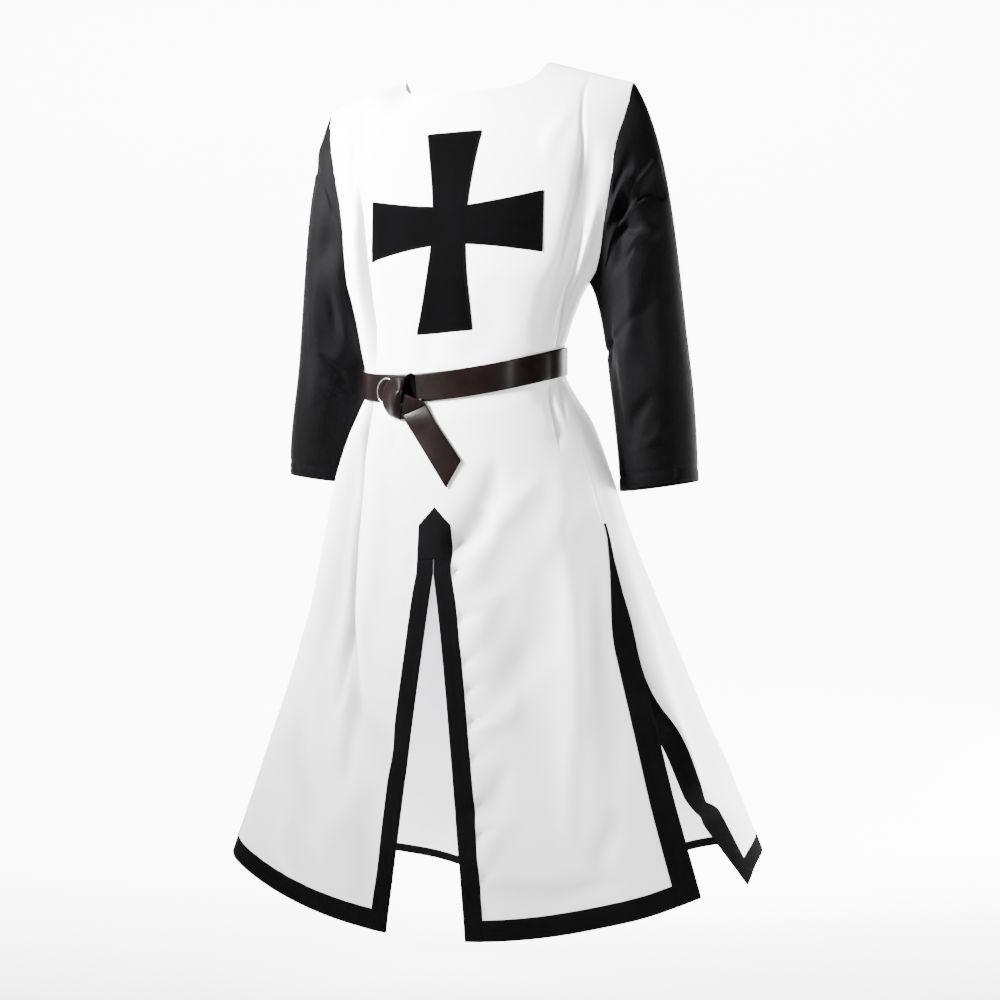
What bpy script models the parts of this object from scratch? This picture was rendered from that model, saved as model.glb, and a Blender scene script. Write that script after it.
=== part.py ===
"""Medieval surcoat: white body with a black appliqued cross, black sleeves, black bands round
a slit skirt, and a leather ring belt knotted at the front. It is filled out as when worn.

Blender 4.5, metres, +Z up. The front faces -Y and the wearer's left is +X. The origin lies
between the two neck points of the shoulder seams, where the wearer's shoulders hold the garment.
"""

import math
from collections import namedtuple

import bmesh
import bpy
from mathutils import Vector

CM = 0.01

# Cloth and leather, in metres
CLOTH = 0.0015
BAND_CLOTH = 0.0018
CROSS_CLOTH = 0.001
LEATHER = 0.0025
SEAM_GAP = 0.0004

# Driving sizes of the cut, in centimetres
NECK_HALF = 10.4
NECK_DROP_FRONT = 4.2
NECK_DROP_BACK = 2.4
SHOULDER_HALF = 21.6
SHOULDER_SLOPE = 0.32
SHOULDER_TIP = -SHOULDER_SLOPE * (SHOULDER_HALF - NECK_HALF)
SHOULDER_ROLL = 9.0
UNDERARM = -29.5
WAIST = -40.3
SIDE_SLIT_TOP = -61.5
HEM = -110.5
BAND_WIDTH = 2.6
FRONT_HEM_RISE = 6.5
FRONT_CORNER = 33.1
BACK_RISE_LEFT = 7.0
BACK_RISE_RIGHT = 1.5
BACK_DROP = 1.8
BACK_RISE_ANGLE = 132.0
BACK_RISE_SPREAD = 30.0
TUCK_SPREAD = 16.0
RIGHT_WRAP = 4.5

PLACKET_TIP = -56.9
PLACKET_SHOULDER = -59.3
PLACKET_SEAM = -63.4
SLIT_TOP = -65.4
PLACKET_HALF = 2.15
SLIT_HALF_AT_HEM = 5.4
SLIT_EASE = 0.35

CROSS_CENTRE = -21.4
CROSS_WAIST_HALF = 2.35
CROSS_END_HALF = 3.75
CROSS_LIFT = 0.2

SHOULDER_GAP = 0.04
ARMHOLE_GAP = 0.12
ARM_TIP = 0.14
ELBOW_AT = 0.66
SLEEVE_COLUMNS = 24
SLEEVE_ROWS = 14

BELT_WIDTH = 3.6
BELT_ROOM = 2.1
TILT_FRONT = -1.3
TILT_LEFT = 1.0
TILT_SIDES = 0.45
TILT_REACH = 12.0
TAIL_START_X = -3.6
TAIL_START = -41.4
TAIL_END_X = 2.6
TAIL_END = -52.0
TAIL_LIFT = 0.61
TAIL_REST_LIFT = 0.36
TAIL_CUT = 3.4
RING_X = -7.5
RING_OFFSET = -0.1
RING_LIFT = 0.66
RING_RADIUS = 1.85
RING_WIRE = 0.16

# One row for each level of the body, in centimetres and degrees. Angles run from the centre
# front (0) through the wearer's left side (90) to the centre back (180). The two edges are those
# of the panels at the armhole, the side seam and the side slit. Below the top of the slit the
# back panel is tucked inwards at its edge.
Level = namedtuple(
    "Level",
    "height shift centre half_front half_back front back square_back front_edge back_edge tuck",
)
LEVELS = [
    Level(-1.0, 0.0, 0.0, 22.8, 22.8, 6.6, 7.4, 2.0, 71.3, 108.7, 0.0),
    Level(-5.5, 0.0, 0.0, 22.8, 22.8, 6.8, 8.2, 2.0, 70.2, 110.0, 0.0),
    Level(-12.0, 0.0, -0.2, 22.8, 22.8, 7.9, 9.4, 2.0, 63.0, 117.0, 0.0),
    Level(-16.5, -0.1, -0.4, 22.0, 22.0, 8.3, 10.0, 2.0, 64.5, 117.0, 0.0),
    Level(-21.7, -0.3, -1.0, 20.6, 20.6, 8.3, 10.2, 2.0, 69.0, 113.0, 0.0),
    Level(-27.4, -0.5, -1.8, 18.4, 18.4, 8.3, 9.8, 2.0, 81.0, 99.0, 0.0),
    Level(-29.5, -0.7, -2.1, 17.0, 17.0, 8.2, 9.5, 2.0, 90.0, 90.0, 0.0),
    Level(-32.5, -0.7, -2.4, 15.7, 15.7, 8.3, 9.2, 2.0, 90.0, 90.0, 0.0),
    Level(-36.5, -0.6, -3.0, 14.4, 14.4, 8.6, 8.8, 2.0, 88.0, 88.0, 0.0),
    Level(-38.2, -0.5, -3.5, 13.8, 13.8, 8.7, 8.6, 2.0, 87.0, 87.0, 0.0),
    Level(-40.3, -0.5, -3.5, 13.7, 13.7, 8.7, 8.6, 2.0, 86.0, 86.0, 0.0),
    Level(-42.4, -0.5, -3.5, 13.8, 13.8, 8.7, 8.6, 2.0, 84.0, 84.0, 0.0),
    Level(-44.6, -0.5, -3.2, 14.9, 14.9, 9.5, 9.4, 2.0, 82.0, 82.0, 0.0),
    Level(-48.0, -0.4, -2.5, 16.9, 16.9, 10.4, 10.8, 2.0, 79.0, 79.0, 0.0),
    Level(-54.6, -0.3, -1.6, 19.1, 19.1, 11.8, 12.6, 2.0, 75.0, 75.0, 0.0),
    Level(-61.5, -0.2, -0.8, 20.9, 20.9, 13.0, 14.6, 2.1, 72.0, 72.0, 0.12),
    Level(-73.4, 0.0, -0.7, 24.6, 24.4, 13.6, 18.4, 2.5, 68.0, 62.0, 1.6),
    Level(-85.8, 0.0, -0.8, 28.8, 28.0, 14.2, 22.0, 3.0, 65.0, 80.0, 2.8),
    Level(-97.0, 0.0, -0.9, 32.8, 31.4, 14.8, 25.2, 3.3, 62.5, 97.0, 2.8),
    Level(-110.5, 0.0, -1.0, 38.0, 34.5, 15.5, 28.0, 3.6, 60.6, 111.0, 1.2),
]

# Largest folds: a trough has a negative depth. Angles in degrees, the rest in centimetres; fade
# is the length over which a fold grows at each of its ends.
Fold = namedtuple("Fold", "angle_top top angle_bottom bottom width depth fade")
FOLDS = [
    Fold(-42.0, -2.0, -38.0, -15.0, 1.8, -0.5, 5.0),
    Fold(-38.0, -12.0, -42.0, -39.0, 1.9, -0.8, 7.0),
    Fold(44.0, -6.0, 62.0, -39.2, 2.1, -1.1, 7.0),
    Fold(-43.0, -42.0, -25.0, -92.0, 2.5, -1.2, 14.0),
    Fold(66.0, -42.0, 56.0, -51.5, 1.3, -0.5, 3.0),
    Fold(80.0, -43.0, 72.0, -64.0, 1.8, -0.8, 6.0),
    Fold(-80.0, -43.0, -72.0, -64.0, 1.8, -0.6, 6.0),
    Fold(-76.0, -58.0, -66.0, -150.0, 2.8, -2.6, 18.0),
    Fold(20.0, -56.0, 34.0, -100.0, 4.0, -0.7, 15.0),
    Fold(46.0, -60.0, 45.0, -150.0, 4.0, 0.6, 20.0),
    Fold(132.0, -84.0, 132.0, -200.0, 5.5, 2.8, 34.0),
    Fold(-132.0, -70.0, -132.0, -200.0, 5.5, 2.4, 40.0),
    Fold(158.0, -46.0, 156.0, -150.0, 4.0, -1.8, 40.0),
    Fold(-160.0, -46.0, -158.0, -150.0, 4.0, -1.6, 40.0),
    Fold(118.0, -12.0, 108.0, -39.0, 2.4, -0.9, 8.0),
    Fold(-118.0, -12.0, -108.0, -39.0, 2.4, -0.9, 8.0),
    Fold(150.0, -28.0, 146.0, -39.4, 1.8, -0.6, 4.0),
    Fold(-150.0, -28.0, -146.0, -39.4, 1.8, -0.6, 4.0),
]

# Arms of the cross: reach from its centre, in centimetres
Arm = namedtuple("Arm", "side_step up_step reach")
ARMS = [Arm(0, 1, 11.8), Arm(0, -1, 12.5), Arm(1, 0, 12.1), Arm(-1, 0, 11.9)]

# Sleeves, in centimetres: elbow and cuff centres measured outwards from the middle of the body
Sleeve = namedtuple("Sleeve", "side elbow_x elbow_y elbow_z elbow_half cuff_x cuff_y cuff_z cuff_half")
SLEEVES = {
    "sleeve_left": Sleeve(1, 23.2, 1.0, -39.3, 5.2, 24.1, 2.4, -54.6, 5.0),
    "sleeve_right": Sleeve(-1, 23.0, 1.9, -38.6, 5.1, 24.6, 3.9, -53.6, 4.9),
}

# Soft folds of a sleeve: turns in degrees round the arm, downs as shares of the sleeve's length
SleeveFold = namedtuple("SleeveFold", "turn_start down_start turn_end down_end spread depth")
SLEEVE_FOLDS = [
    SleeveFold(125.0, 0.02, 60.0, 0.42, 16.0, -0.6),
    SleeveFold(150.0, 0.1, 100.0, 0.6, 14.0, -0.5),
    SleeveFold(95.0, 0.0, 30.0, 0.25, 14.0, -0.4),
    SleeveFold(235.0, 0.02, 300.0, 0.42, 16.0, -0.6),
    SleeveFold(140.0, 0.5, 120.0, 0.95, 16.0, -0.45),
    SleeveFold(210.0, 0.4, 240.0, 0.9, 18.0, -0.4),
]

# The turn of strap over the belt, from its top edge down, in centimetres
Turn = namedtuple("Turn", "offset lift left right")
TIE = [
    Turn(1.95, 0.35, -6.0, -3.6),
    Turn(2.0, 0.9, -6.3, -3.3),
    Turn(1.2, 1.25, -6.5, -2.9),
    Turn(-0.4, 1.45, -6.6, -2.4),
    Turn(-1.9, 1.4, -6.5, -2.2),
    Turn(-3.1, 1.4, -5.9, -2.7),
    Turn(-3.6, 1.32, -5.2, -3.4),
]


def clamp(value):
    return max(0.0, min(1.0, value))


def smooth(value):
    value = clamp(value)
    return value * value * (3 - 2 * value)


def mix(a, b, share):
    return a + (b - a) * share


def hermite(a, slope_a, b, slope_b, share):
    """Cubic from a to b with the two end slopes."""
    square, cube = share * share, share * share * share
    return (
        a * (2 * cube - 3 * square + 1)
        + slope_a * (cube - 2 * square + share)
        + b * (3 * square - 2 * cube)
        + slope_b * (cube - square)
    )


def level_at(height):
    """The row of the body at a height, with every column read from a smooth curve."""
    height = min(LEVELS[0].height, max(LEVELS[-1].height, height))
    low = next(i for i in range(1, len(LEVELS)) if height >= LEVELS[i].height)
    above, below = LEVELS[low - 1], LEVELS[low]
    before = LEVELS[max(low - 2, 0)]
    after = LEVELS[min(low + 1, len(LEVELS) - 1)]
    span = below.height - above.height
    share = (height - above.height) / span
    values = []
    for first, a, b, last in zip(before, above, below, after):
        slope_a = (b - first) * span / (below.height - before.height)
        slope_b = (last - a) * span / (after.height - above.height)
        values.append(hermite(a, slope_a, b, slope_b, share))
    found = Level(*values)
    if above.front_edge == above.back_edge and below.front_edge == below.back_edge:
        found = found._replace(back_edge=found.front_edge)
    return found


def from_front(angle):
    """Degrees between an angle and the centre front, 0 to 180."""
    return abs((angle + 180) % 360 - 180)


def ring_point(angle, height):
    """Plan position on the body's ring at a level, in centimetres, before its folds."""
    row = level_at(WAIST if abs(height - WAIST) < BELT_ROOM + 0.05 else height)
    half = mix(row.half_front, row.half_back, smooth((from_front(angle) - 60) / 60))
    aside, ahead = math.sin(math.radians(angle)), math.cos(math.radians(angle))
    if ahead > 0:
        return row.shift + half * aside, row.centre - row.front * ahead
    square = row.square_back
    reach = (abs(aside) ** square + abs(ahead) ** square) ** (1 / square)
    return row.shift + half * aside / reach, row.centre - row.back * ahead / reach


def hem_rise(angle, height):
    """How far the cloth at this level is lifted above it, in centimetres: none at the waist."""
    share = clamp((WAIST - height) / (WAIST - HEM))
    x, y = ring_point(angle, HEM)
    front = FRONT_HEM_RISE * (x / FRONT_CORNER) ** 2
    away = (from_front(angle) - BACK_RISE_ANGLE) / BACK_RISE_SPREAD
    back = mix(BACK_RISE_RIGHT, BACK_RISE_LEFT, smooth(0.5 + x / 24)) * math.exp(-away * away)
    back -= BACK_DROP * smooth((from_front(angle) - 120) / 60)
    return share * mix(front, back, smooth((from_front(angle) - 72) / 25))


def waist_tilt(angle, height):
    """The waist sits lower at the front and at the wearer's right, where the belt is tied."""
    away = (height - WAIST) / TILT_REACH
    turn = math.radians(angle)
    tilt = TILT_FRONT * math.cos(turn) + TILT_LEFT * math.sin(turn) - TILT_SIDES * math.cos(2 * turn)
    return tilt * math.exp(-away * away)


def fold_lift(angle, height):
    """Outward lift of the cloth by its folds, in centimetres."""
    lift = 0.0
    for fold in FOLDS:
        along = (fold.top - height) / (fold.top - fold.bottom)
        if not 0 < along < 1:
            continue
        x, y = ring_point(angle, height)
        fold_x, fold_y = ring_point(mix(fold.angle_top, fold.angle_bottom, along), height)
        away = math.hypot(x - fold_x, y - fold_y) / fold.width
        ends = smooth((fold.top - height) / fold.fade) * smooth((height - fold.bottom) / fold.fade)
        lift += fold.depth * math.exp(-away * away) * ends
    return lift


def surface(angle, height, inward=0.0):
    """A point of the cloth's outer face, in centimetres, moved inwards where the cloth is tucked."""
    x, y = ring_point(angle, height)
    x_next, y_next = ring_point(angle + 0.5, height)
    run = math.hypot(x_next - x, y_next - y)
    lift = (fold_lift(angle, height) - inward) / run
    x, y = x + (y_next - y) * lift, y - (x_next - x) * lift
    below_seam = (-SHOULDER_SLOPE * (abs(x) - NECK_HALF) - height) / SHOULDER_ROLL
    roll = math.sqrt(1 - (1 - clamp(below_seam)) ** 2)
    return Vector((x, y * roll, height + hem_rise(angle, height) + waist_tilt(angle, height)))


def back_surface(angle, height):
    """A point of the back panel's outer face: its edges are tucked behind the front panel."""
    row = level_at(height)
    before = 1 - clamp((from_front(angle) - row.back_edge) / TUCK_SPREAD)
    return surface(angle, height, row.tuck * before * before)


def lifted(angle, height, lift, form=surface):
    """A point that stands off the cloth's outer face by a lift, in centimetres."""
    across = form(angle + 0.5, height) - form(angle - 0.5, height)
    along = form(angle, height + 0.2) - form(angle, height - 0.2)
    return form(angle, height) + across.cross(along).normalized() * lift


def cloth_at(angle, height, thickness, form=surface):
    """The two faces of the cloth at a place: the outer point and the inner one."""
    return form(angle, height), lifted(angle, height, -thickness / CM, form)


def angle_of_x(x, height):
    """The front angle whose ring point has this x, in centimetres."""
    row = level_at(height)
    return math.degrees(math.asin(max(-1.0, min(1.0, (x - row.shift) / row.half_front))))


def angle_step(angle, height, width):
    """The turn that covers a width of cloth, in centimetres, at an angle and a level."""
    return width / ((surface(angle + 1, height) - surface(angle - 1, height)).length / 2)


def front_edge(side, height):
    """Angle of the front panel's side edge: the wearer's right one wraps further round."""
    wrap = RIGHT_WRAP * smooth((SIDE_SLIT_TOP - 6 - height) / 20) if side < 0 else 0.0
    return side * (level_at(height).front_edge + wrap)


def placket_half(height):
    """Half width of the black placket and slit bands at a level."""
    if height > PLACKET_SHOULDER:
        return PLACKET_HALF * clamp((PLACKET_TIP - height) / (PLACKET_TIP - PLACKET_SHOULDER))
    return PLACKET_HALF + slit_half(height) + SLIT_EASE * clamp((PLACKET_SHOULDER - height) / 10)


def slit_half(height):
    """Half width of the open front slit at a level."""
    return SLIT_HALF_AT_HEM * clamp((SLIT_TOP - height) / (SLIT_TOP - HEM)) ** 0.9


def side_band_width(height):
    """The side bands run out into the seam at the top of the side slit."""
    return BAND_WIDTH * (0.12 + 0.88 * smooth((SIDE_SLIT_TOP - height) / 17))


def cloth(name, grids, material):
    """A wall of cloth. Each grid is (columns, rows, place), where place(u, v) gives the outer and
    the inner point. Grids are joined where their outer points meet."""
    shape = bmesh.new()
    inner = shape.verts.layers.float_vector.new("inner")
    for columns, rows, place in grids:
        grid = bmesh.ops.create_grid(shape, x_segments=columns, y_segments=rows, size=0.5)
        for point in grid["verts"]:
            outside, inside = place(point.co.x + 0.5, point.co.y + 0.5)
            point.co = outside * CM
            point[inner] = inside * CM
    bmesh.ops.remove_doubles(shape, verts=shape.verts[:], dist=0.00002)
    bmesh.ops.triangulate(shape, faces=shape.faces[:])
    twin = {point: shape.verts.new(point[inner]) for point in shape.verts[:]}
    for face in shape.faces[:]:
        for edge in [loop for loop in face.loops if loop.edge.is_boundary]:
            a, b = edge.vert, edge.link_loop_next.vert
            shape.faces.new([b, a, twin[a], twin[b]])
    for face in [f for f in shape.faces if all(point in twin for point in f.verts)]:
        shape.faces.new([twin[point] for point in reversed(face.verts)])
    return node_of(name, shape, material)


def sheet(name, columns, rows, place, thickness, material, closed=False):
    """A strip of one thickness: its outer face is placed by place(u, v) and thickened inwards."""
    shape = bmesh.new()
    bmesh.ops.create_grid(shape, x_segments=columns, y_segments=rows, size=0.5)
    for point in shape.verts:
        point.co = place(point.co.x + 0.5, point.co.y + 0.5) * CM
    if closed:
        bmesh.ops.remove_doubles(shape, verts=shape.verts[:], dist=0.00002)
    return thicken(node_of(name, shape, material), thickness)


def node_of(name, shape, material):
    mesh = bpy.data.meshes.new(name)
    shape.to_mesh(mesh)
    shape.free()
    mesh.materials.append(material)
    mesh.shade_smooth()
    node = bpy.data.objects.new(name, mesh)
    bpy.context.scene.collection.objects.link(node)
    return node


def thicken(node, thickness):
    solidify = node.modifiers.new("Wall", "SOLIDIFY")
    solidify.thickness = thickness
    solidify.offset = -1
    return node


def finish(name, colour, roughness, metallic=0.0):
    material = bpy.data.materials.new(name)
    material.use_nodes = True
    shader = material.node_tree.nodes["Principled BSDF"]
    shader.inputs["Base Color"].default_value = (*colour, 1)
    shader.inputs["Roughness"].default_value = roughness
    shader.inputs["Metallic"].default_value = metallic
    return material


def spaced(start, end, count):
    """Evenly spaced heights from start to end, the start left out."""
    return [mix(start, end, (step + 1) / count) for step in range(count)]


SLIT_ROWS = [HEM + BAND_WIDTH] + spaced(HEM + BAND_WIDTH, PLACKET_SEAM, 10)
SKIRT_ROWS = (
    [HEM + BAND_WIDTH + SEAM_GAP / CM]
    + SLIT_ROWS[1:]
    + [SIDE_SLIT_TOP, PLACKET_SHOULDER, PLACKET_TIP]
    + spaced(PLACKET_TIP, WAIST - BELT_ROOM, 5)
    + spaced(WAIST - BELT_ROOM, WAIST + BELT_ROOM, 2)
)
BODICE_ROWS = 14
PANEL_ROWS = len(SKIRT_ROWS) - 1 + BODICE_ROWS
HALF_COLUMNS = 12
NECK_COLUMNS = 5


def top_of_column(share, neck_drop):
    """x and height of a panel's top edge: the neckline first, then the shoulder seam."""
    neck_share = NECK_COLUMNS / HALF_COLUMNS
    if share < neck_share:
        turn = share / neck_share * math.pi / 2
        return NECK_HALF * math.sin(turn) ** 0.6, -neck_drop * math.cos(turn) ** 0.6
    x = mix(NECK_HALF, SHOULDER_HALF, (share - neck_share) / (1 - neck_share))
    return x, -SHOULDER_SLOPE * (x - NECK_HALF)


def bodice_height(share, row, neck_drop):
    """Height of a bodice row, closer together at the shoulder, and how far up the row is."""
    up = 1 - (1 - row / BODICE_ROWS) ** 1.5
    top = top_of_column(share, neck_drop)[1]
    return mix(WAIST + BELT_ROOM, top, up), up


def white_front(side, share, row):
    """Place of a point of the front panel: share 0 at its middle or slit band, 1 at its side."""
    gap = SEAM_GAP / CM
    if row < len(SKIRT_ROWS):
        height = SKIRT_ROWS[row]
        inner = 0.0
        if height <= PLACKET_TIP:
            reach = placket_half(height) + gap if height < PLACKET_TIP else 0.0
            inner = angle_of_x(side * reach, height)
        outer = front_edge(side, height)
        trim = gap if height > SIDE_SLIT_TOP else side_band_width(height) + gap
        outer -= side * angle_step(outer, height, trim)
        return cloth_at(mix(inner, outer, share), height, CLOTH)
    height, up = bodice_height(share, row + 1 - len(SKIRT_ROWS), NECK_DROP_FRONT)
    outer = front_edge(side, height)
    outer -= side * angle_step(outer, height, gap)
    top_x = min(top_of_column(share, NECK_DROP_FRONT)[0], SHOULDER_HALF - gap)
    angle = mix(share * outer, angle_of_x(side * top_x, height), up**4)
    outside, inside = cloth_at(side * min(side * angle, side * outer), height, CLOTH)
    if row == PANEL_ROWS and share >= NECK_COLUMNS / HALF_COLUMNS:
        outside.y = inside.y = -SHOULDER_GAP
    return outside, inside


def white_back(side, share, row):
    """Place of a point of the back panel: share 0 at its middle, 1 at its side."""
    gap = SEAM_GAP / CM
    if row < len(SKIRT_ROWS):
        height = SKIRT_ROWS[row]
        outer = level_at(height).back_edge
        trim = gap if height > SIDE_SLIT_TOP else side_band_width(height) + 2 * gap
        outer += angle_step(outer, height, trim)
        return cloth_at(side * mix(180, outer, share), height, CLOTH, back_surface)
    height, up = bodice_height(share, row + 1 - len(SKIRT_ROWS), NECK_DROP_BACK)
    outer = level_at(height).back_edge
    outer += angle_step(outer, height, gap)
    top_x = min(top_of_column(share, NECK_DROP_BACK)[0], SHOULDER_HALF - gap)
    top_angle = 180 - angle_of_x(top_x, height) if side > 0 else 180 + angle_of_x(-top_x, height)
    angle = max(mix(mix(180, outer, share), top_angle, up**4), outer)
    outside, inside = cloth_at(side * angle, height, CLOTH)
    if row == PANEL_ROWS and share >= NECK_COLUMNS / HALF_COLUMNS:
        outside.y = inside.y = SHOULDER_GAP
    return outside, inside


def panel(name, place, turn, material):
    """A panel as two half grids, joined down the middle where their inner points meet."""
    grids = []
    for side in (-1, 1):
        def half(across, up, side=side):
            share = across if side * turn > 0 else 1 - across
            return place(side, share, round(up * PANEL_ROWS))

        grids.append((HALF_COLUMNS, PANEL_ROWS, half))
    cloth(name, grids, material)


def band(name, columns, heights, edges, material, form=surface):
    """A band of black cloth: edges(height) gives the two angles between which it runs."""
    def place(across, up):
        height = heights[round(up * (len(heights) - 1))]
        return cloth_at(mix(*edges(height), across), height, BAND_CLOTH, form)

    cloth(name, [(columns, len(heights) - 1, place)], material)


def slit_bands(black):
    """The black placket above the front slit and the band down each of its sides."""
    gap = SEAM_GAP / CM

    def patch(height):
        half = placket_half(height) - 2 * gap
        return angle_of_x(-half, height), angle_of_x(half, height)

    middle = mix(PLACKET_SHOULDER, PLACKET_TIP, 0.5)
    heights = [PLACKET_SEAM + gap, SIDE_SLIT_TOP, PLACKET_SHOULDER, middle, PLACKET_TIP - 0.2]
    band("front_placket", 4, heights, patch, black)
    heights = [HEM] + SLIT_ROWS[:-1] + [PLACKET_SEAM - gap]
    for side, word in ((1, "left"), (-1, "right")):
        def slit(height, side=side):
            reach = [max(slit_half(height), gap), placket_half(height) - gap][::side]
            return [angle_of_x(side * x, height) for x in reach]

        band("slit_band_" + word, 2, heights, slit, black)


def side_bands(black):
    """Bands down the front and back edges of both side slits."""
    gap = SEAM_GAP / CM
    heights = [HEM] + SLIT_ROWS + [SIDE_SLIT_TOP - 0.05]
    for side, word in ((1, "left"), (-1, "right")):
        def front(height, side=side):
            edge = front_edge(side, height)
            edge -= side * angle_step(edge, height, gap)
            width = angle_step(edge, height, side_band_width(height) - gap)
            return [edge - side * width, edge][::side]

        def back(height, side=side):
            edge = level_at(height).back_edge
            edge += angle_step(edge, height, gap)
            width = angle_step(edge, height, side_band_width(height) - gap)
            return [side * edge, side * (edge + width)][::side]

        band("side_band_front_" + word, 2, heights, front, black)
        band("side_band_back_" + word, 2, heights[:-1], back, black, back_surface)


def hem_bands(black):
    """Bands along the hem of the two front halves and of the back."""
    gap = SEAM_GAP / CM
    for side, word in ((1, "left"), (-1, "right")):
        def front(height, side=side):
            inner = angle_of_x(side * (placket_half(height) + gap), height)
            outer = front_edge(side, height)
            outer -= side * angle_step(outer, height, side_band_width(height) + gap)
            return [inner, outer][::side]

        band("hem_band_front_" + word, HALF_COLUMNS, [HEM, HEM + BAND_WIDTH], front, black)

    def back(height):
        outer = level_at(height).back_edge
        outer += angle_step(outer, height, side_band_width(height) + gap)
        return outer, 360 - outer

    heights = [HEM, HEM + BAND_WIDTH]
    band("hem_band_back", 2 * HALF_COLUMNS, heights, back, black, back_surface)


def cross(black):
    """The appliqued cross: four arms that widen outwards, laid on the front panel."""
    shape = bmesh.new()
    middle = bmesh.ops.create_grid(shape, x_segments=2, y_segments=2, size=CROSS_WAIST_HALF)
    parts = [(middle["verts"], None)]
    for arm in ARMS:
        grid = bmesh.ops.create_grid(shape, x_segments=2, y_segments=5, size=0.5)
        for point in grid["verts"]:
            out = point.co.y + 0.5
            half = mix(CROSS_WAIST_HALF, CROSS_END_HALF, out**1.35)
            along = mix(CROSS_WAIST_HALF, arm.reach, out)
            sideways = 2 * point.co.x * half
            x = arm.side_step * along + arm.up_step * sideways
            y = arm.up_step * along - arm.side_step * sideways
            point.co = Vector((x, y, 0))
    bmesh.ops.remove_doubles(shape, verts=shape.verts[:], dist=0.001)
    for point in shape.verts:
        height = CROSS_CENTRE + point.co.y
        point.co = lifted(angle_of_x(point.co.x, height), height, CROSS_LIFT) * CM
    thicken(node_of("cross", shape, black), CROSS_CLOTH)


def armhole(turn, side):
    """The armhole seam: turn 0 is the shoulder tip, 90 the front, 180 the underarm."""
    middle = (SHOULDER_TIP + UNDERARM) / 2
    height = middle + (SHOULDER_TIP - middle) * math.cos(math.radians(turn))
    row = level_at(height)
    edge = row.front_edge if turn <= 180 else row.back_edge
    return surface(side * edge, height) + Vector((side * ARMHOLE_GAP, 0, 0))


def arm_ring(turn, side, x, y, z, half):
    """A ring round the arm, tipped a little so that its outer side is the higher one."""
    radians = math.radians(turn)
    out, ahead = half * math.cos(radians), half * math.sin(radians)
    return Vector((side * (x + out), y - ahead, z + ARM_TIP * out))


def sleeve_point(sleeve, turn, down):
    """A point of a sleeve before its folds: down is 0 at the armhole and 1 at the cuff."""
    side = sleeve.side
    top = (1 + math.cos(math.radians(turn))) / 2
    start = armhole(turn, side)
    elbow = arm_ring(turn, side, sleeve.elbow_x, sleeve.elbow_y, sleeve.elbow_z, sleeve.elbow_half)
    cuff = arm_ring(turn, side, sleeve.cuff_x, sleeve.cuff_y, sleeve.cuff_z, sleeve.cuff_half)
    length = (elbow - start).length
    leaving = Vector((side * mix(3.5, 14.0, top), -2.0 * math.sin(math.radians(turn)), 0))
    leaving.z = -mix(4.0, 22.0, top * top)
    passing = Vector((side * 0.12, 0.05, -1)) * length
    if down < ELBOW_AT:
        share = down / ELBOW_AT
        return Vector(hermite(*values, share) for values in zip(start, leaving, elbow, passing))
    share = (down - ELBOW_AT) / (1 - ELBOW_AT)
    lower = (cuff - elbow).length
    passing = Vector((side * 0.12, 0.05, -1)) * lower
    ending = Vector((side * 0.0, 0.12, -1)) * lower
    return Vector(hermite(*values, share) for values in zip(elbow, passing, cuff, ending))


def sleeve(name, black):
    """A three-quarter sleeve: an open tube from the armhole to the cuff."""
    cut = SLEEVES[name]

    def place(round_arm, up):
        turn = -360 * round_arm * cut.side % 360
        down = 1 - up
        point = sleeve_point(cut, turn, down)
        middle = sum((sleeve_point(cut, t, down) for t in (0, 90, 180, 270)), Vector()) / 4
        lift = 0.0
        for fold in SLEEVE_FOLDS:
            along = (down - fold.down_start) / (fold.down_end - fold.down_start)
            if not 0 < along < 1:
                continue
            line = mix(fold.turn_start, fold.turn_end, along)
            away = ((turn - line + 180) % 360 - 180) / fold.spread
            lift += fold.depth * math.exp(-away * away) * math.sin(math.pi * along)
        outward = (point - middle).normalized()
        point += outward * lift
        return point, point - outward * CLOTH / CM

    cloth(name, [(SLEEVE_COLUMNS, SLEEVE_ROWS, place)], black)


def belt_point(x, offset, lift):
    """A point beside the belt's middle line: offset up its width and lift off the cloth."""
    return lifted(angle_of_x(x, WAIST), WAIST, lift) + Vector((0, 0, offset))


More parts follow.
